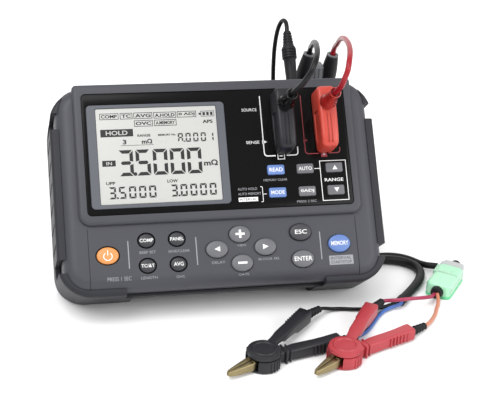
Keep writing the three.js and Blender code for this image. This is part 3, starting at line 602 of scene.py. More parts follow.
CABLE_RUN = [
    (63, 97, 3.3), (63, 84.5, 3.5), (63, 72, 3.6), (63, 58, 3.6), (63, 44, 3.6), (63.4, 32, 3.6),
    (65.8, 20.5, 3.6), (71, 10.5, 3.6), (78.5, 3, 3.6), (86, -1.2, 3.6), (91.5, -2, 3.6),
]
COIL = (28, 108, 35, 6.5)  # middle x and y, radius, cable diameter
COIL_TURNS = 2.75
COIL_FALLS = (0.75, 1.75)  # the turns at which it starts to drop a layer
COIL_FALL_LENGTH = 0.25


def coil_points():
    """Clockwise from the front of the coil, from the top layer down to the bottom."""
    x, y, r, pitch = COIL
    points = []
    steps = 16
    for i in range(1, int(COIL_TURNS * steps) + 1):
        turn = i / steps
        eased = [min(max((turn - start) / COIL_FALL_LENGTH, 0), 1) for start in COIL_FALLS]
        fall = sum(e * e * (3 - 2 * e) for e in eased)
        a = math.radians(-90 - 360 * turn)
        points.append((x + r * math.cos(a), y + r * math.sin(a), 2.5 * pitch - fall * pitch + 0.05))
    return points


# ---------- case ----------
HINGE = (0, 30, -53)
STAND_LENGTH = 68.06
STAND_OPEN = 59  # degrees between the stand and the back
SENSOR_JACK = (55.5, 61, -27.5)
SPLIT_FRONT, SPLIT_BACK = -16.85, -17.15  # where the front and the rear cover end
BLOCK_X, BLOCK_TOP = 85.6, 61  # the raised block's half width and its upper edge


def case_slab(z0, z1, low, high, steps, corner, grow=0):
    """A slab with the case's outline, grown all round."""
    return slab(-96 - grow, 96 + grow, -63.5 - grow, 60.5 + grow, 15 + grow, z0, z1, low, high, steps, corner)


def heel(grow=0):
    """The wedge cut from the lower back edge of the case."""
    (y0, z0), (y1, z1) = (-63.5, -24), (-46, -50)
    dy, dz = y1 - y0, z1 - z0
    size = math.hypot(dy, dz)
    sy, sz = grow * dz / size, -grow * dy / size
    points = [(y0 + sy - 2 * dy, z0 + sz - 2 * dz), (y0 - 90, z0 - 40), (y1 + sy + 2 * dy, z1 + sz + 2 * dz)]
    return side_view(points, -130, 130)


def case_form(grow):
    """The whole case as one solid, for cutting the guard's hollow."""
    return cut(case_slab(-50 - grow, -3 + grow, 8 + grow, 8 + grow, 6, 10, grow), heel(grow))


def seam(x):
    """The fine line that bends over the lower edge of the case."""
    outer = [(-26.5, -2), (-55.5, -2), *arc(-55.5, -11, 9, 90, 180, 8), (-64.5, -17.5)]
    inner = [(-62.9, -17.5), *arc(-55.5, -11, 7.4, 180, 90, 8), (-26.5, -3.6)]
    return side_view(outer + inner, x - 0.2, x + 0.2)


def build_front():
    raised = slab(-BLOCK_X, BLOCK_X, -24.7, BLOCK_TOP, (2.6, 2.6, 7, 7), -16.4, 0, 0, 2.2, 6, 10)
    whole = boolean(case_slab(SPLIT_FRONT, -3, 0, 8, 10, 14), [raised], "UNION")
    tools = [plate(0, 17.9, 161.4, 74.3, 2.8, -1.9, 2)]
    for x, y, w, h, top, *_ in ROUND_KEYS.values():
        grow = 1.5 if top < -1 else 0.7
        ring = oval(x, y, w + grow, h + grow, 36)
        tools.append(loft([[(px, py, z) for px, py in ring] for z in (-9.6, 1)]))
    tools += [seam(-81.1), seam(80.6)]
    local("case_front", cut(whole, *tools), CASE, nodes=["front_cover"], slot="case", angle=30)


def build_rear():
    body = cut(case_slab(-50, SPLIT_BACK, 8, 0, 10, 14), heel())
    lugs = [slab(s * 34.6 - 2.2, s * 34.6 + 2.2, 26.4, 33.6, 1.2, -56, -48, 0.8, 0) for s in (-1, 1)]
    top = slab(-BLOCK_X, BLOCK_X, 50, BLOCK_TOP, (2.6, 2.6, 1, 1), -46, SPLIT_BACK, 2, 0)
    body = boolean(body, [top, joined(*lugs)], "UNION")
    pin = turned(lathe([(1.9, -45), (1.9, 45)]), "Y", 90, HINGE)
    jack = turned(lathe([(4.1, -3.5), (4.1, 4)], 32), "X", 90, SENSOR_JACK)
    holes = [moved(lathe([(3.5, -52), (3.5, -47.2)], 24), Matrix.Translation((s * 82.5, -34, 0))) for s in (-1, 1)]
    door = plate(-20, -12, 108.7, 66.7, 3.2, -54, -47.4)
    local("case_back", cut(body, door, pin, jack, *holes), CASE, nodes=["rear_cover"], slot="case", angle=30)
    lid = plate(-20, -12, 108, 66, 3, -50, -47.7, 0.5, 0)
    grip = plate(-20, -34, 26, 8, 3.9, -52, -49.1)
    ridges = [plate(x, -34, 1.2, 5.6, 0.5, -49.9, -49.05, 0.3, 0) for x in (-28, -24, -20, -16, -12)]
    local("battery_lid", joined(cut(lid, grip), *ridges), CASE, nodes=["battery_cover"], slot="case")


def build_guard():
    outline = slab(-99.5, 99.5, -66, 59.5, 20, -56, -5.5, 2.5, 2.5, 6, 14)
    side = [(-66, 5), (-66, -34), *arc(-44, -34, 22, 180, 270, 20)[1:],
            (53.5, -56), *arc(53.5, -50, 6, 270, 360, 8)[1:], (59.5, 5)]
    whole = boolean(outline, [side_view(side, -110, 110)], "INTERSECT")
    below_table = moved(block(-200, 200, -200, 200, -60, 0), UNIT_MM.inverted())
    between_feet = side_view([(-52, -20), (-52, -70), (-80, -70), (-80, 2), (-64, 2), (-64, -20)], -56, 56)
    front = slab(-90.5, 90.5, -58.5, 70, 14, -22, 5, 0, 0, 1, 10)
    tools = [below_table, cut(between_feet, case_form(1.8)), front, block(-60, 60, -80, -50, -17.6, 5),
             block(-87.2, 87.2, 48, 70, -40, 5), plate(0, 0, 176, 89, 8, -70, -44)]
    for s in (-1, 1):
        notch_x, groove_x = sorted((s * 92, s * 110)), sorted((s * 98.2, s * 102))
        tools += [slab(*notch_x, y0, y1, 1.6, -34, 5, 1.5, 0, 4, 6) for y0, y1 in ((35.5, 45.5), (-51, -43))]
        for i in range(6):
            tools.append(slab(*groove_x, -35.2 + 12.6 * i, -32.8 + 12.6 * i, 0.7, -49, -9, 0, 0, 1, 4))
    body = cut(whole, case_form(0.4))
    for tool in tools:
        body = cut(body, tool)
    local("guard", body, GUARD, nodes=["rubber_guard"], slot="guard", angle=34)


def printed(name, marks, mat, slot):
    local(name, joined(*marks), mat, slot=slot, weld=False)


DISPLAY_INK, FACE_INK, CASE_INK = -0.86, -0.26, -2.96  # heights of the marks, just above what they are on
OVERPRINT = 0.02  # from a mark up to the mark on top of it


def build_face():
    sheet = plate(0, 17.9, 160.8, 73.7, 2.5, -1.5, -0.3, 0, 0.25)
    tools = [plate(-36.3, 16.4, 83.8, 63.8, 2.8, -4, 2)]
    tools += [plate(x, y, 11.1, 6.6, 1.2, -4, 2) for x, y, *_ in FLAT_KEYS.values()]
    local("face_plate", cut(sheet, *tools), PANEL, nodes=["face_panel"], slot="panel")
    outer = [rounded_rect(-77.9 + i, 5.3 - i, -15.2 + i, 48 - i, 2.5 - i, 8) for i in (0, 0.25)]
    inner = [rounded_rect(-72.55 - i, 0.35 + i, -12.8 - i, 45.8 + i, 1 + i, 8) for i in (0.3, 0)]
    section = [(outer[0], -1.9), (outer[0], -0.55), (outer[1], -0.3),
               (inner[0], -0.3), (inner[1], -0.5), (inner[1], -1.9)]
    rings = [[(x, y, z) for x, y in ring] for ring, z in section]
    local("display_border", loft(rings, closed=True), BEZEL, nodes=["lcd_bezel"], slot="bezel")
    screen = plate(-36.1, 16.5, 72.6, 58.3, 0.9, -3, -0.9, 0, 0.15)
    local("display", screen, GLASS, nodes=["lcd_module"], slot="display")


def build_display_marks():
    z = DISPLAY_INK
    parts = []
    boxes = [("COMP", -69.9, -58.9, 39.1), ("TC", -57.7, -50.6, 39.1), ("AVG", -49.6, -38.7, 39.1),
             ("A.HOLD", -37.6, -24.3, 39), ("0 ADJ", -23.3, -12.1, 39.1), ("OVC", -49.5, -38.6, 34.3),
             ("A.MEMORY", -37.4, -24.4, 34.3)]
    for label, x0, x1, y in boxes:
        parts.append(stroke([(x0, y), (x1, y), (x1, y + 3.5), (x0, y + 3.5)], 0.36, z, True))
        parts.append(text(label, x0 + 0.7, x1 - 0.7, y + 0.7, y + 2.8, z, 0.035))
    parts += [stroke([(-9, 39.2), (-1.1, 39.2), (-1.1, 42.4), (-9, 42.4)], 0.3, z, True),
              rect(-10.4, -9, 40.2, 41.4, z)]
    parts += [rect(-8 + 2.3 * i, -6.5 + 2.3 * i, 39.8, 41.8, z) for i in range(3)]
    parts += [text("APS", -8.4, -2.2, 34.9, 37, z, 0.035), text("RANGE", -48.2, -40.4, 27.8, 29.4, z, 0.03),
              text("mΩ", -45.9, -39.6, 23.5, 26.4, z, 0.035), text("3", -57.2, -55, 23.5, 26.4, z, 0.035),
              stroke([(-58.4, 22.8), (-38.8, 22.8)], 0.25, z), text("MEMORY No.", -35.9, -25, 27.9, 29.2, z, 0.03),
              text("mΩ", -9.5, -1.1, 8.6, 12.2, z, 0.035), text("UPP", -68.6, -63.2, -0.8, 1.1, z, 0.03),
              text("LOW", -32.3, -26, -0.8, 1.1, z, 0.03)]
    parts.append(number("A.0001", -24, 23.7, 4.62, 3.1, 5.5, 0.85, z))
    parts.append(number("3.5000", -60.4, 4.2, 10.25, 8.7, 15.8, 2.1, z))
    parts.append(number("3.5000", -67.3, -9.4, 5.95, 4.2, 7.3, 1.1, z))
    parts.append(number("3.0000", -30.6, -9.4, 5.85, 4.1, 7.3, 1.1, z))
    parts += [rect(-70.1, -50.7, 28.3, 32.9, z), rect(-70.1, -62.2, 10.4, 14, z)]
    printed("display_figures", parts, INK, "display")
    lit = [text("HOLD", -66.9, -54, 29.3, 32, z + OVERPRINT, 0.014),
           text("IN", -67.7, -64.4, 11.2, 13.2, z + OVERPRINT, 0.014)]
    printed("display_inverse_figures", lit, GLASS, "display")


def rounded_path(points, radius, steps=5):
    """An open path whose inner corners are rounded."""
    pts = [Vector(p) for p in points]
    out = [tuple(pts[0])]
    for a, b, c in zip(pts, pts[1:], pts[2:]):
        u, v = (a - b).normalized(), (c - b).normalized()
        for i in range(steps + 1):
            t = i / steps
            out.append(tuple((b + u * radius) * (1 - t) ** 2 + b * 2 * t * (1 - t) + (b + v * radius) * t ** 2))
    out.append(tuple(pts[-1]))
    return out


def build_face_marks():
    z = FACE_INK
    white = [stroke(rounded_path([(27.7, 50.5), (27.7, 12.8), (34.6, 12.8)], 2.2), 0.65, z),
             stroke(rounded_path([(41.4, 12.8), (48.6, 12.8), (48.6, 17.9)], 2.2), 0.65, z),
             stroke([(35.9, 10.6), (40, 10.6), (40, 14.4), (35.9, 14.4)], 0.45, z, True),
             text("−", 36.9, 39, 12.2, 12.9, z),
             flat([(27, 20.2), (30.1, 21.6), (27, 23)], z),
             stroke([(57.8, 3.8), (61.4, 3.8)], 0.4, z),
             stroke([(61.4, 8.4), (61.4, -16.2), (77.6, -16.2), (77.6, 8.4)], 0.42, z, True),
             text("RANGE", 63.6, 75.2, -4.5, -2.5, z, 0.01),
             text("SOURCE", 16, 25.2, 41.1, 42.9, z), text("SENSE", 17.1, 25.3, 20.7, 22.5, z),
             stroke(rounded_path([(23.3, -5.9), (24.6, -5.9), (24.6, -15.2), (23.3, -15.2)], 0.7), 0.35, z),
             stroke([(24.6, -10.5), (27, -10.5)], 0.35, z), rect(9.6, 21.4, -14.6, -12.1, z)]
    printed("face_print", white, WHITE, "panel")
    pale = [text("MEMORY CLEAR", 25.8, 40.4, -2.8, -1.4, z), text("AUTO HOLD", 9.5, 21.4, -7.7, -6.2, z),
            text("AUTO MEMORY", 9.5, 23.6, -10.7, -9.2, z), text("PRESS 2 SEC", 45.2, 57.4, -16.8, -15.4, z)]
    printed("face_captions", pale, PALE, "panel")
    printed("face_interval", [text("INTERVAL", 10.2, 20.8, -14.1, -12.6, z + OVERPRINT, 0.006)], PANEL, "panel")
    wine = [stroke(rounded_path([(53.2, 50), (53.2, 13.2), (61.8, 13.2)], 2.2), 0.6, z),
            stroke(rounded_path([(67.6, 13.2), (74.9, 13.2), (74.9, 16.6)], 2.2), 0.6, z),
            rect(62.8, 66.6, 10.9, 14.3, z), flat([(52.6, 20.3), (55.4, 21.6), (52.6, 22.9)], z)]
    printed("face_print_wine", wine, WINE, "panel")
    printed("face_plus_mark", [text("+", 63.9, 65.5, 11.8, 13.4, z + OVERPRINT)], WHITE, "panel")


def build_case_marks():
    z = CASE_INK
    lines = [stroke([(-58, -34.3), (-58, -50.7)], 0.6, z), stroke([(-17.7, -34.1), (-17.7, -50.8)], 0.6, z),
             stroke([(57.8, -34.6), (57.8, -51.5)], 0.6, z), rect(62.3, 77.2, -55.3, -49.7, z)]
    lines += [text("PRESS 1 SEC", -71.2, -57.2, -57.6, -55.3, z), text("BEEP SET", -51.5, -41.9, -42.4, -40.8, z),
              text("SAVE/CLEAR", -34.5, -21.8, -42.6, -41, z), text("LENGTH", -51.5, -42, -57.5, -55.9, z),
              text("OHC", -30.8, -25.7, -57.8, -56.3, z), text("DELAY", -9.1, -1.1, -50.7, -49.2, z),
              text("VIEW", 6.9, 12.5, -41.1, -39.7, z), text("GATE", 6.4, 12.7, -58.6, -57.2, z),
              text("BLOCK SEL", 19.1, 32.2, -50.1, -48.7, z)]
    printed("case_print", lines, PALE, "case")
    over = [text("INTERVAL", 63.4, 76.1, -52.1, -50.4, z + OVERPRINT, 0.004),
            text("START/STOP", 63.4, 76.1, -54.7, -52.9, z + OVERPRINT, 0.004)]
    printed("case_print_over", over, CASE, "case")


ARROWS = {"<": -1, ">": 1, "up": 1, "down": -1}


def key_symbol(label, x, y, w, h, z):
    """A key's legend, centred on (x, y): an arrow, a sign or a word."""
    x0, x1, y0, y1 = x - w / 2, x + w / 2, y - h / 2, y + h / 2
    if label in ARROWS:
        s = ARROWS[label]
        if label in "<>":
            points = [(x - s * w / 2, y0), (x + s * w / 2, y), (x - s * w / 2, y1)]
        else:
            points = [(x0, y - s * h / 2), (x1, y - s * h / 2), (x, y + s * h / 2)]
        return flat(points[::s], z)
    if label == "+":
        return joined(rect(x0, x1, y - 0.65, y + 0.65, z), rect(x - 0.7, x + 0.7, y0, y1, z + 0.005))
    if label == "-":
        return rect(x0, x1, y0, y1, z)
    if label == "power":
        ring = [(x + 2.5 * c, y - 0.6 + 2.3 * s) for c, s in arc(0, 0, 1, 125, 415, 20)]
        return joined(stroke(ring, 0.5, z), stroke([(x, y + 3), (x, y - 0.1)], 0.5, z))
    return text(label, x0, x1, y0, y1, z, 0.012)


KEY_CROWN = 0.12
LEGEND_GAP = 0.03  # from a key's top up to its legend
KEY_SLOTS = {"orange": "key_orange", "blue": "key_blue", "grey": "key_grey"}


def build_key(name, form, hue, mark, angle):
    key = f"key_{name}"
    slot = KEY_SLOTS.get(hue, "key_dark")
    local(f"button_{name}", form, KEYS[hue], body=key, nodes=[key], angle=angle, slot=slot)
    local(f"legend_{name}", mark, WHITE, body=key, weld=False, slot="key_grey")


def build_keys():
    for name, (x, y, w, h, top, label, lw, lh, hue) in ROUND_KEYS.items():
        profile = [(0, -8.2), (0, top - 1.1), (0.12, top - 0.75), (0.4, top - 0.48), (0.85, top - 0.34)]
        rings = [[(px, py, z) for px, py in oval(x, y, w - 2 * i, h - 2 * i)] for i, z in profile]
        for k in (0.75, 0.5, 0.25):
            z = top - KEY_CROWN * (k ** 2) * 0.9
            rings.append([(px, py, z) for px, py in oval(x, y, (w - 1.7) * k, (h - 1.7) * k)])
        build_key(name, loft(rings), hue, key_symbol(label, x, y, lw, lh, top + LEGEND_GAP), 50)
    for name, (x, y, label, lw, lh, hue) in FLAT_KEYS.items():
        top = 0.7
        shift = 0.4 if label in ARROWS else 0
        mark = key_symbol(label, x + shift, y, lw, lh, top + LEGEND_GAP)
        build_key(name, plate(x, y, 10.5, 6, 1, -8.2, top, 0, 0.5, 5, 6), hue, mark, 32)


def build_stand():
    pose = Matrix.Translation(HINGE) @ Matrix.Rotation(math.radians(STAND_OPEN), 4, "X")
    blade = slab(-32, 32, -STAND_LENGTH, 0, 3, -2, 2, 0.8, 0.8, 4, 6)
    window = slab(-21, 21, -53.06, -12, 5, -5, 5, 0, 0, 1, 8)
    bar = lathe([(2.4, -32), (3, -31.4), (3, 31.4), (2.4, 32)], 24)
    hub = turned(bar, "Y", 90)
    pin = turned(lathe([(1.5, -36), (1.5, 36)], 16), "Y", 90)
    foot = turned(bar, "Y", 90, (0, -STAND_LENGTH, 0))
    ribs = [slab(x - 0.6, x + 0.6, 6 - STAND_LENGTH, -8, 0.5, 1.6, 2.5, 0, 0.4, 3, 4) for x in (-29.4, 29.4)]
    body = boolean(cut(blade, window), [hub, pin], "UNION")
    bail = moved(joined(body, *ribs), pose)
    local("stand_bail", bail, MOULDED, body="stand", nodes=["stand"], slot="black_plastic")
    local("stand_foot", moved(foot, pose), GUARD, body="stand", slot="guard")


build_front()
build_rear()
build_guard()
build_face()
build_display_marks()
build_face_marks()
build_case_marks()
build_keys()
build_stand()


# ---------- plugs ----------
def extend(points, before=0, after=0):
    """Runs both ends on in a straight line, into the pieces that hold them."""
    pts = [Vector(p) for p in points]
    if before:
        pts.insert(0, pts[0] + (pts[0] - pts[1]).normalized() * before)
    if after:
        pts.append(pts[-1] + (pts[-1] - pts[-2]).normalized() * after)
    return pts


def build_banana(name, x, mat, sleeve_mat, slot):
    y0, y1 = 13.25, 50.75
    stations = [(y0, 3.4, 15.2), (y0 + 0.5, 4.2, 16.4), (y0 + 2.2, 5, 17.4), (y0 + 7, 5.3, 17.9),
                (30, 5.45, 18), (y1 - 7, 5.5, 18), (y1 - 2.2, 5.4, 17.8), (y1 - 0.5, 4.9, 17), (y1, 4.2, 16)]
    rings = []
    for y, half, top in stations:
        low = 0.2 + (17.9 - top) * 0.3
        ring = rounded_rect(x - half, x + half, low, top, (1.9, 1.9, 0.8, 0.8), 5)
        rings.append([(px, y, pz) for px, pz in reversed(ring)])
    body = loft(rings)
    dents = [slab(x + s * 5.6 - 0.75, x + s * 5.6 + 0.75, 18, 37, 0.7, 4.2, 14.2, 0.6, 0.6, 4, 6) for s in (-1, 1)]
    body = cut(body, *dents)
    ridges = [slab(x + d - 0.3, x + d + 0.3, 15.5, 33.5, 0.28, 17.6, 18.28, 0, 0.25, 3, 4) for d in (-1.1, 1.1)]
    pin = lathe([(1.4, -17), (2, -16.2), (2, 0.6)], 20)
    pins = [moved(pin, Matrix.Translation((x, y, 0))) for y in (41.5, 22.5)]
    local(f"{name}_plug_body", joined(body, *ridges), mat, nodes=[f"{name}_plug"], slot=slot, angle=40)
    local(f"{name}_plug_pins", joined(*pins), STEEL, slot="screw")
    profile = [(3.2, 16.5), (4.9, 17.6), (5.15, 19.4), (5.1, 21.5), (4.7, 23.6), (4.1, 25.2), (3.75, 26.6),
               (3.6, 29), (3.35, 32), (3.15, 35.2), (3.2, 36.2), (3.45, 36.7), (3.45, 37.6), (3.2, 38),
               (2.7, 38), (2.35, 37.4), (2.2, 36.2)]
    sleeve = moved(lathe(profile, 36), Matrix.Translation((x, 40.3, 0)))
    local(f"{name}_plug_sleeve", sleeve, sleeve_mat, slot=slot, angle=50)


def build_sensor_plug():
    profile = [(1.75, -13), (1.75, 0.4), (3, 0.5), (3.3, 0.9), (3.45, 6), (3.7, 14), (3.9, 20.6), (4.3, 21.2)]
    for i in range(4):
        z = 21.6 + 1.75 * i
        profile += [(4.7, z), (4.7, z + 1), (4.35, z + 1.25), (4.35, z + 1.5)]
    profile += [(4.3, 28.8), (3.7, 29.6)]
    for i in range(5):
        z, r = 30.2 + 1.85 * i, 3.5 - 0.2 * i
        profile += [(r, z), (r, z + 0.85), (r - 0.55, z + 1.15), (r - 0.55, z + 1.6)]
    profile += [(2.3, 39.5), (1.7, 39.7)]
    plug = turned(lathe(profile, 36), "X", -90, SENSOR_JACK)
    local("probe_plug", plug, MOULDED, nodes=["sensor_plug"], slot="black_plastic", angle=35)


def aimed(part, at, toward):
    """Turns a part drawn along +Z so that it points from one place toward another."""
    direction = (Vector(toward) - Vector(at)).normalized()
    turn = Vector((0, 0, 1)).rotation_difference(direction).to_matrix().to_4x4()
    return moved(part, Matrix.Translation(at) @ turn)


def build_junction():
    spine = slab(71.2, 82.8, 60.7, 70.9, 2, 86, 113, 1.2, 1.6, 5, 6)
    grooves = row(4, 2.6, 73.2, 74, 60.2, 61.2, 0.3, 90, 111, 0, 0, 1, 3)
    table("junction_spine", cut(spine, *grooves), JUNCTION, nodes=["lead_junction"], slot="junction")
    shoulders = [slab(*sides, 60.6, 70.9, 2.4, 88, 104.5, 1.6, 2.2, 5, 6) for sides in ((66.1, 71.9), (82.1, 88.4))]
    reliefs, rims = [], []
    for at, tip in (((68.7, 64.4, 100), (71.8, 61.6, 121.9)), ((85.9, 65, 100), (87.6, 61.5, 121.1))):
        length = (Vector(tip) - Vector(at)).length
        profile = [(4.6, 0), (5.1, 2), (5.2, 7), (5, 11), (4.6, 15),
                   (4.1, length - 3), (3.8, length - 1), (3.5, length - 0.6)]
        reliefs.append(aimed(lathe(profile, 32), at, tip))
        rim = [(3.4, length - 0.9), (3.85, length - 0.8), (3.85, length - 0.2),
               (3.5, length), (2.3, length), (2.1, length - 0.8)]
        rims.append(aimed(lathe(rim, 32), at, tip))
    table("junction_rims", joined(*rims), JUNCTION, slot="junction")
    exit_cone = tube(straight((0, 0, 0), (0, 0, 10), 24), ribbed(4.7, 3.6, 10, 4, 0.35), 24)
    exit_cone = aimed(exit_cone, (77, 65.5, 92), (77, 65.5, 82))
    table("junction_reliefs", joined(*shoulders, *reliefs, exit_cone), MOULDED, slot="black_plastic", angle=40)


def build_split():
    body = slab(92, 108, -8.4, 4.4, 4, 0.1, 7.4, 2.2, 2.6, 6, 8)
    rings = row(3, 2, 93.5, 94.5, -8.55, 4.55, 0.4, 0.9, 7.45, 0.6, 1.4, 4, 4)
    return table("cable_split_sleeve", joined(body, *rings), MOULDED, nodes=["cable_split"], slot="black_plastic")


CONNECTOR = Matrix.Translation((145.4, -37.6, 0)) @ Matrix.Rotation(math.radians(53), 4, "Z")


def build_connector():
    body = slab(-16.3, 13.4, -7.9, 7.9, 3, 0.3, 9.8, 1.6, 2.6, 6, 8)
    ribs = [slab(-14.5, 11, -8.2, -7.2, 0.45, 3.4, 6.2, 0.5, 0.5, 3, 4),
            slab(2, 12, 7.2, 9.4, 0.8, 1.2, 8, 0.8, 0.8, 3, 4),
            slab(-13, -6, 7, 8.6, 0.7, 2, 7.4, 0.6, 0.6, 3, 4),
            slab(-1.2, 0.2, -7.4, 7.4, 0.5, 8.6, 10, 0, 0.5, 3, 4)]
    shell = moved(joined(body, *ribs), CONNECTOR)
    shell = table("connector_shell", shell, MINT, nodes=["inline_connector"], slot="mint_plastic")
    skirt = slab(-16.5, 13.5, -8.2, 8.2, 3.2, 0.1, 2.3, 0.5, 0.9, 4, 8)
    table("connector_skirt", moved(skirt, CONNECTOR), MINT_EDGE, slot="mint_plastic")
    cap = joined(slab(11.5, 18, -6.8, 6.8, 2.2, 0.6, 9.4, 1, 1.4, 5, 6),
                 slab(9.5, 14.5, -7.6, 7.6, 1.2, 4, 9.95, 0.6, 1.2, 4, 5))
    table("connector_cap", moved(cap, CONNECTOR), CAP, slot="mint_plastic")
    knob = [(3.4, 17), (3.6, 18), (3.6, 19.4), (3.3, 20), (3.3, 20.6), (3.45, 21.2), (2.9, 22.3), (1.5, 22.5)]
    ring = [(3.9, 15.6), (4, 16.4), (3.7, 17.4), (3.75, 18.4), (3.4, 19.2), (2.6, 19.4)]
    bushes = joined(turned(lathe(knob, 28), "Y", 90, (0, 0, 5)), turned(lathe(ring, 28), "Y", -90, (0, 0, 4.3)))
    return [shell, table("connector_bushes", moved(bushes, CONNECTOR), MOULDED, slot="black_plastic")]


# ---------- Kelvin clips ----------
SPREAD = 17  # degrees from a clip's middle line to each of its grips
CLIPS = {
    # name: middle of the head, degrees about Z, material, slot
    "black": ((12, -110.5), 32, CLIP_BLACK, "black_plastic"),
    "red": ((59.2, -112.5), 40, CLIP_RED, "red_plastic"),
}


JAW = [  # x, inner y, outer y, lowest z, highest z
    (-5, 0.25, 3.4, 1.9, 7), (-11, 0.25, 3.6, 1.9, 7), (-13, 0.25, 3.3, 1.9, 6.8), (-19, 0.22, 2.5, 2.1, 6.4),
    (-24.6, 0.2, 1.6, 2.6, 5.9), (-25.7, 0.2, 1.2, 2.9, 5.5), (-26, 0.2, 0.8, 3.2, 5.2),
]


def handle(stations):
    """A grip lofted along +x from (x, half width, lowest z, highest z) sections."""
    rings = []
    for x, half, low, high in stations:
        r = min(1.3, half * 0.6, (high - low) * 0.45)
        rings.append([(x, y, z) for y, z in rounded_rect(-half, half, low, high, r, 5)])
    return loft(rings)


def clip_relief(side, length, z0, z1):
    """The ribbed sleeve at the end of a grip, bent by 12 degrees toward the other one."""
    bend = math.radians(-side * 12)
    tip = (length + 13 * math.cos(bend), 13 * math.sin(bend), z1)
    base = (length - 1.5, 0, z0)
    size = (Vector(tip) - Vector(base)).length
    return turned(tube(straight(base, tip, 56), ribbed(3.15, 2.25, size, 5, 0.75), 20), "Z", side * SPREAD)


def jaw(side):
    """One brass leaf of a clip, toothed along its inner edge."""
    rings = []
    for x, inner, outer, low, high in JAW:
        r = min(0.5, (outer - inner) * 0.4)
        ring = [(x, y * side, z) for y, z in rounded_rect(inner, outer, low, high, (0.12, r, r, 0.12), 4)]
        rings.append(ring if side < 0 else ring[::-1])
    teeth = row(9, 1.1, -24.5, -24.1, *sorted((side * 0.06, side * 0.4)), 0.05, 3, 5.6, 0, 0, 1, 2)
    rib = slab(-9.5, -8.3, *sorted((side * 0.6, side * 3.1)), 0.4, 6.8, 7.35, 0, 0.2, 3, 4)
    return turned(joined(loft(rings), *teeth, rib), "Z", -3.5)


def around(angles, *box):
    """Copies of a slab, turned about a clip's head."""
    return [turned(slab(*box), "Z", angle) for angle in angles]


def build_clip(name):
    (x, y), turn, mat, slot = CLIPS[name]
    place = Matrix.Translation((x, y, 0)) @ Matrix.Rotation(math.radians(turn), 4, "Z")
    moving = f"{name}_clip_moving_half"

    def part(kind, form, mat, slot, node, **options):
        nodes = [f"{name}_clip_{node}"] if node else ()
        return table(f"{name}_clip_{kind}", moved(form, place), mat, nodes=nodes, slot=slot, **options)

    head = lathe([(8.6, 0.1), (9.6, 0.35), (10, 1.1), (10, 7.3), (9.8, 7.8), (9.3, 8)], 56)
    head = cut(cut(head, block(-12, 2, -5, 5, 1.4, 9)), block(-12, -4, 4, 9, 1.4, 9))
    hub = lathe([(2.4, 0.5), (2.4, 8)], 24)
    knurls = around((-104, -92, -80, -68, 112, 124), 9.7, 10.45, -0.5, 0.5, 0.3, 0.5, 7.6, 0.3, 0.5, 3, 3)
    lower = handle([(6, 3.3, 0.9, 7.6), (12, 3.2, 0.9, 7.6), (15, 3.3, 0.8, 7.7), (20, 3.8, 0.6, 8),
                    (27, 3.7, 0.6, 8), (33, 3.5, 0.6, 8), (40, 3.7, 0.6, 8), (46, 4.1, 0.6, 8.1),
                    (49.2, 4.2, 0.6, 8.1), (50, 3.6, 1.1, 7.6)])
    collar = [slab(12.2, 13.6, -4.9, 4.9, 0.6, 0.3, 8.1, 0.4, 0.4, 3, 4),
              slab(15.2, 16.2, -4.3, 4.3, 0.45, 0.4, 8, 0.4, 0.4, 3, 4)]
    fingers = row(6, 2.5, 31, 32.2, -4.45, -3, 0.5, 1.2, 7.4, 0.4, 0.4, 3, 4)
    fixed = joined(head, hub, *knurls, turned(joined(lower, *collar, *fingers), "Z", -SPREAD))
    part("lower_grip", fixed, mat, slot, "fixed_grip", angle=38)

    disc = lathe([(9.4, 8.3), (9.7, 8.6), (9.7, 10.4), (9.45, 10.95), (8.9, 11.2), (7.3, 11.2), (7.1, 11.5),
                  (6.8, 11.75), (6.3, 11.75), (6, 11.45), (5.8, 11.2), (3.4, 11.25), (1.5, 11.3)], 56)
    upper = handle([(5, 3.3, 8.3, 11.1), (12, 3.2, 8.3, 11.2), (16, 3.5, 8.1, 11.3), (19, 3.9, 6.6, 11.4),
                    (27, 3.9, 6.4, 11.4), (32, 3.7, 5.4, 11.4), (36, 3.7, 3.4, 11.4), (44, 4.1, 3.2, 11.5),
                    (50.2, 4.3, 3.2, 11.5), (51, 3.7, 3.8, 10.9)])
    thumbs = row(6, 2.5, 33, 34.2, 3, 4.5, 0.5, 4.4, 10.8, 0.4, 0.4, 3, 4)
    notches = around((-100, -90, -80, -70, 128, 140, 152), 8.7, 10.05, -0.45, 0.45, 0.3, 8.8, 11, 0.3, 0.5, 3, 3)
    top = joined(disc, *notches, turned(joined(upper, *thumbs), "Z", SPREAD))
    part("upper_grip", top, mat, slot, "moving_grip", angle=38, body=moving)

    part("lower_jaw", jaw(-1), BRASS, "jaw", "fixed_jaw")
    part("upper_jaw", jaw(1), BRASS, "jaw", "moving_jaw", body=moving)
    low = part("lower_relief", clip_relief(-1, 50, 3.9, 2.5), MOULDED, "black_plastic", None)
    high = part("upper_relief", clip_relief(1, 51, 6.8, 5.6), MOULDED, "black_plastic", None, body=moving)
    return low, high


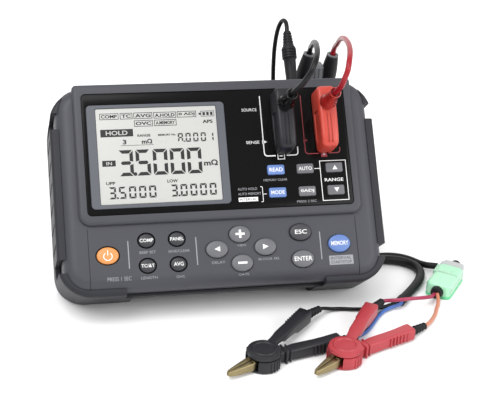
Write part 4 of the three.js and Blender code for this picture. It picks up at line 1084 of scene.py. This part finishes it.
def build_leads():
    build_junction()
    split = build_split()
    connector = build_connector()
    reliefs = {name: build_clip(name) for name in CLIPS}
    tip = lathe([(1.6, 0), (2.2, 0.6), (2.2, 4), (1.9, 5.5), (1.9, 10), (1.6, 11.2), (0.9, 11.6)], 24)
    tip = aimed(tip, (51.5, 68.6, 71.8), (51.7, 68.4, 60))
    tip = table("probe_tip", tip, MOULDED, nodes=["sensor_tip"], slot="black_plastic")
    cord("black_plug_lead", extend(BLACK_LEAD, 2, 1.2), 3.4, BLACK_CORD, ["black_lead"])
    cord("red_plug_lead", extend(RED_LEAD, 2, 1.2), 3.4, RED_CORD, ["red_lead"], slot="red_cord")
    cord("probe_lead", extend(SENSOR_LEAD, 1.5, 0.5), 2.8, BLACK_CORD, ["sensor_cord"])
    route = [*extend(CABLE_DROP, 2, 0), *coil_points(), *extend(CABLE_RUN, 0, 2)]
    cord("main_cable", route, 6.5, MAT_CORD, ["cable_drop", "cable_coil", "cable_run"],
         sides=20, per=5)
    end = tube(straight((112.2, -54.5, 3.25), (109.2, -57.7, 3.2), 8), 3.1, 20)
    end = table("strand_sleeve", end, MOULDED, slot="black_plastic")
    cord("black_branch", extend(BLACK_STRAND, 2, 0), 5.8, MAT_CORD, ["black_strand"],
         sides=20)
    cord("red_branch", extend(RED_STRAND, 2, 1.5), 4.2, MAT_CORD, ["red_strand"])
    wires = (
        # name, points, material, node, clip, slot, whether it ends in the grip that moves
        ("blue_wire_lead", BLUE_WIRE, BLUE, "blue_wire", "black", "blue_wire", False),
        ("orange_wire_lead", ORANGE_WIRE, ORANGE, "orange_wire", "red", "orange_wire", False),
        ("black_wire_lead", BLACK_WIRE, BLACK_CORD, "black_wire", "black", "black_cord", True),
        ("crimson_wire_lead", CRIMSON_WIRE, CRIMSON, "crimson_wire", "red", "crimson_wire", True),
    )
    for name, points, mat, node, clip, slot, bends in wires:
        o = cord(name, extend(points, 1.5, 1.5), 2.3, mat, [node],
                 slot=slot, body=None if bends else ROOT)
        if bends:
            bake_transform(o)


build_leads()
build_banana("black", 39.2, BLACK_PLUG, BLACK_SLEEVE, "black_plastic")
build_banana("red", 65.2, RED_PLUG, WINE_SLEEVE, "red_plastic")
build_sensor_plug()


# ---------- CAD nodes kept as they are ----------
KEPT = {
    "terminal_block": PANEL, "main_board": BOARD, "sensor_jack": DARK, "battery_pack": CELLS,
    "case_screw_left": STEEL, "case_screw_right": STEEL,
}
for node, mat in KEPT.items():
    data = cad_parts[node].data
    data.materials.clear()
    data.materials.append(mat)


# ---------- floor and light ----------
LIT = (0, 0, 0.05)
FLOOR_HALF, FLOOR_Z = 6, -0.0002  # just under the table plane, clear of the lowest faces


def area_light(name, at, size, power):
    """A white lamp that faces LIT."""
    data = bpy.data.lights.new(name, "AREA")
    data.shape = "RECTANGLE"
    data.size, data.size_y = size
    data.energy = power
    o = new_object(name, data)
    o.location = at
    o.rotation_euler = (Vector(LIT) - Vector(at)).to_track_quat("-Z", "Y").to_euler()


floor_mesh = as_mesh("floor", rect(-FLOOR_HALF, FLOOR_HALF, -FLOOR_HALF, FLOOR_HALF, 0))
floor_mat = bpy.data.materials.new("floor_pale")
floor_mat.use_nodes = True
floor_shader = floor_mat.node_tree.nodes["Principled BSDF"]
floor_shader.inputs["Base Color"].default_value = (0.9, 0.9, 0.9, 1)
floor_shader.inputs["Roughness"].default_value = 0.9
floor_mesh.materials.append(floor_mat)
floor = new_object("floor", floor_mesh)
floor.location.z = FLOOR_Z

world = bpy.data.worlds.new("studio")
world.use_nodes = True
background = world.node_tree.nodes["Background"]
background.inputs["Color"].default_value = (1, 1, 1, 1)
background.inputs["Strength"].default_value = 0.95
bpy.context.scene.world = world
bpy.context.scene.view_settings.view_transform = "Standard"
area_light("key", (-0.5, -0.5, 1.3), (0.9, 0.9), 14)
area_light("fill", (0.9, -0.9, 0.7), (0.8, 0.8), 9)
area_light("back", (0.1, 1.0, 0.9), (1.2, 0.6), 2)
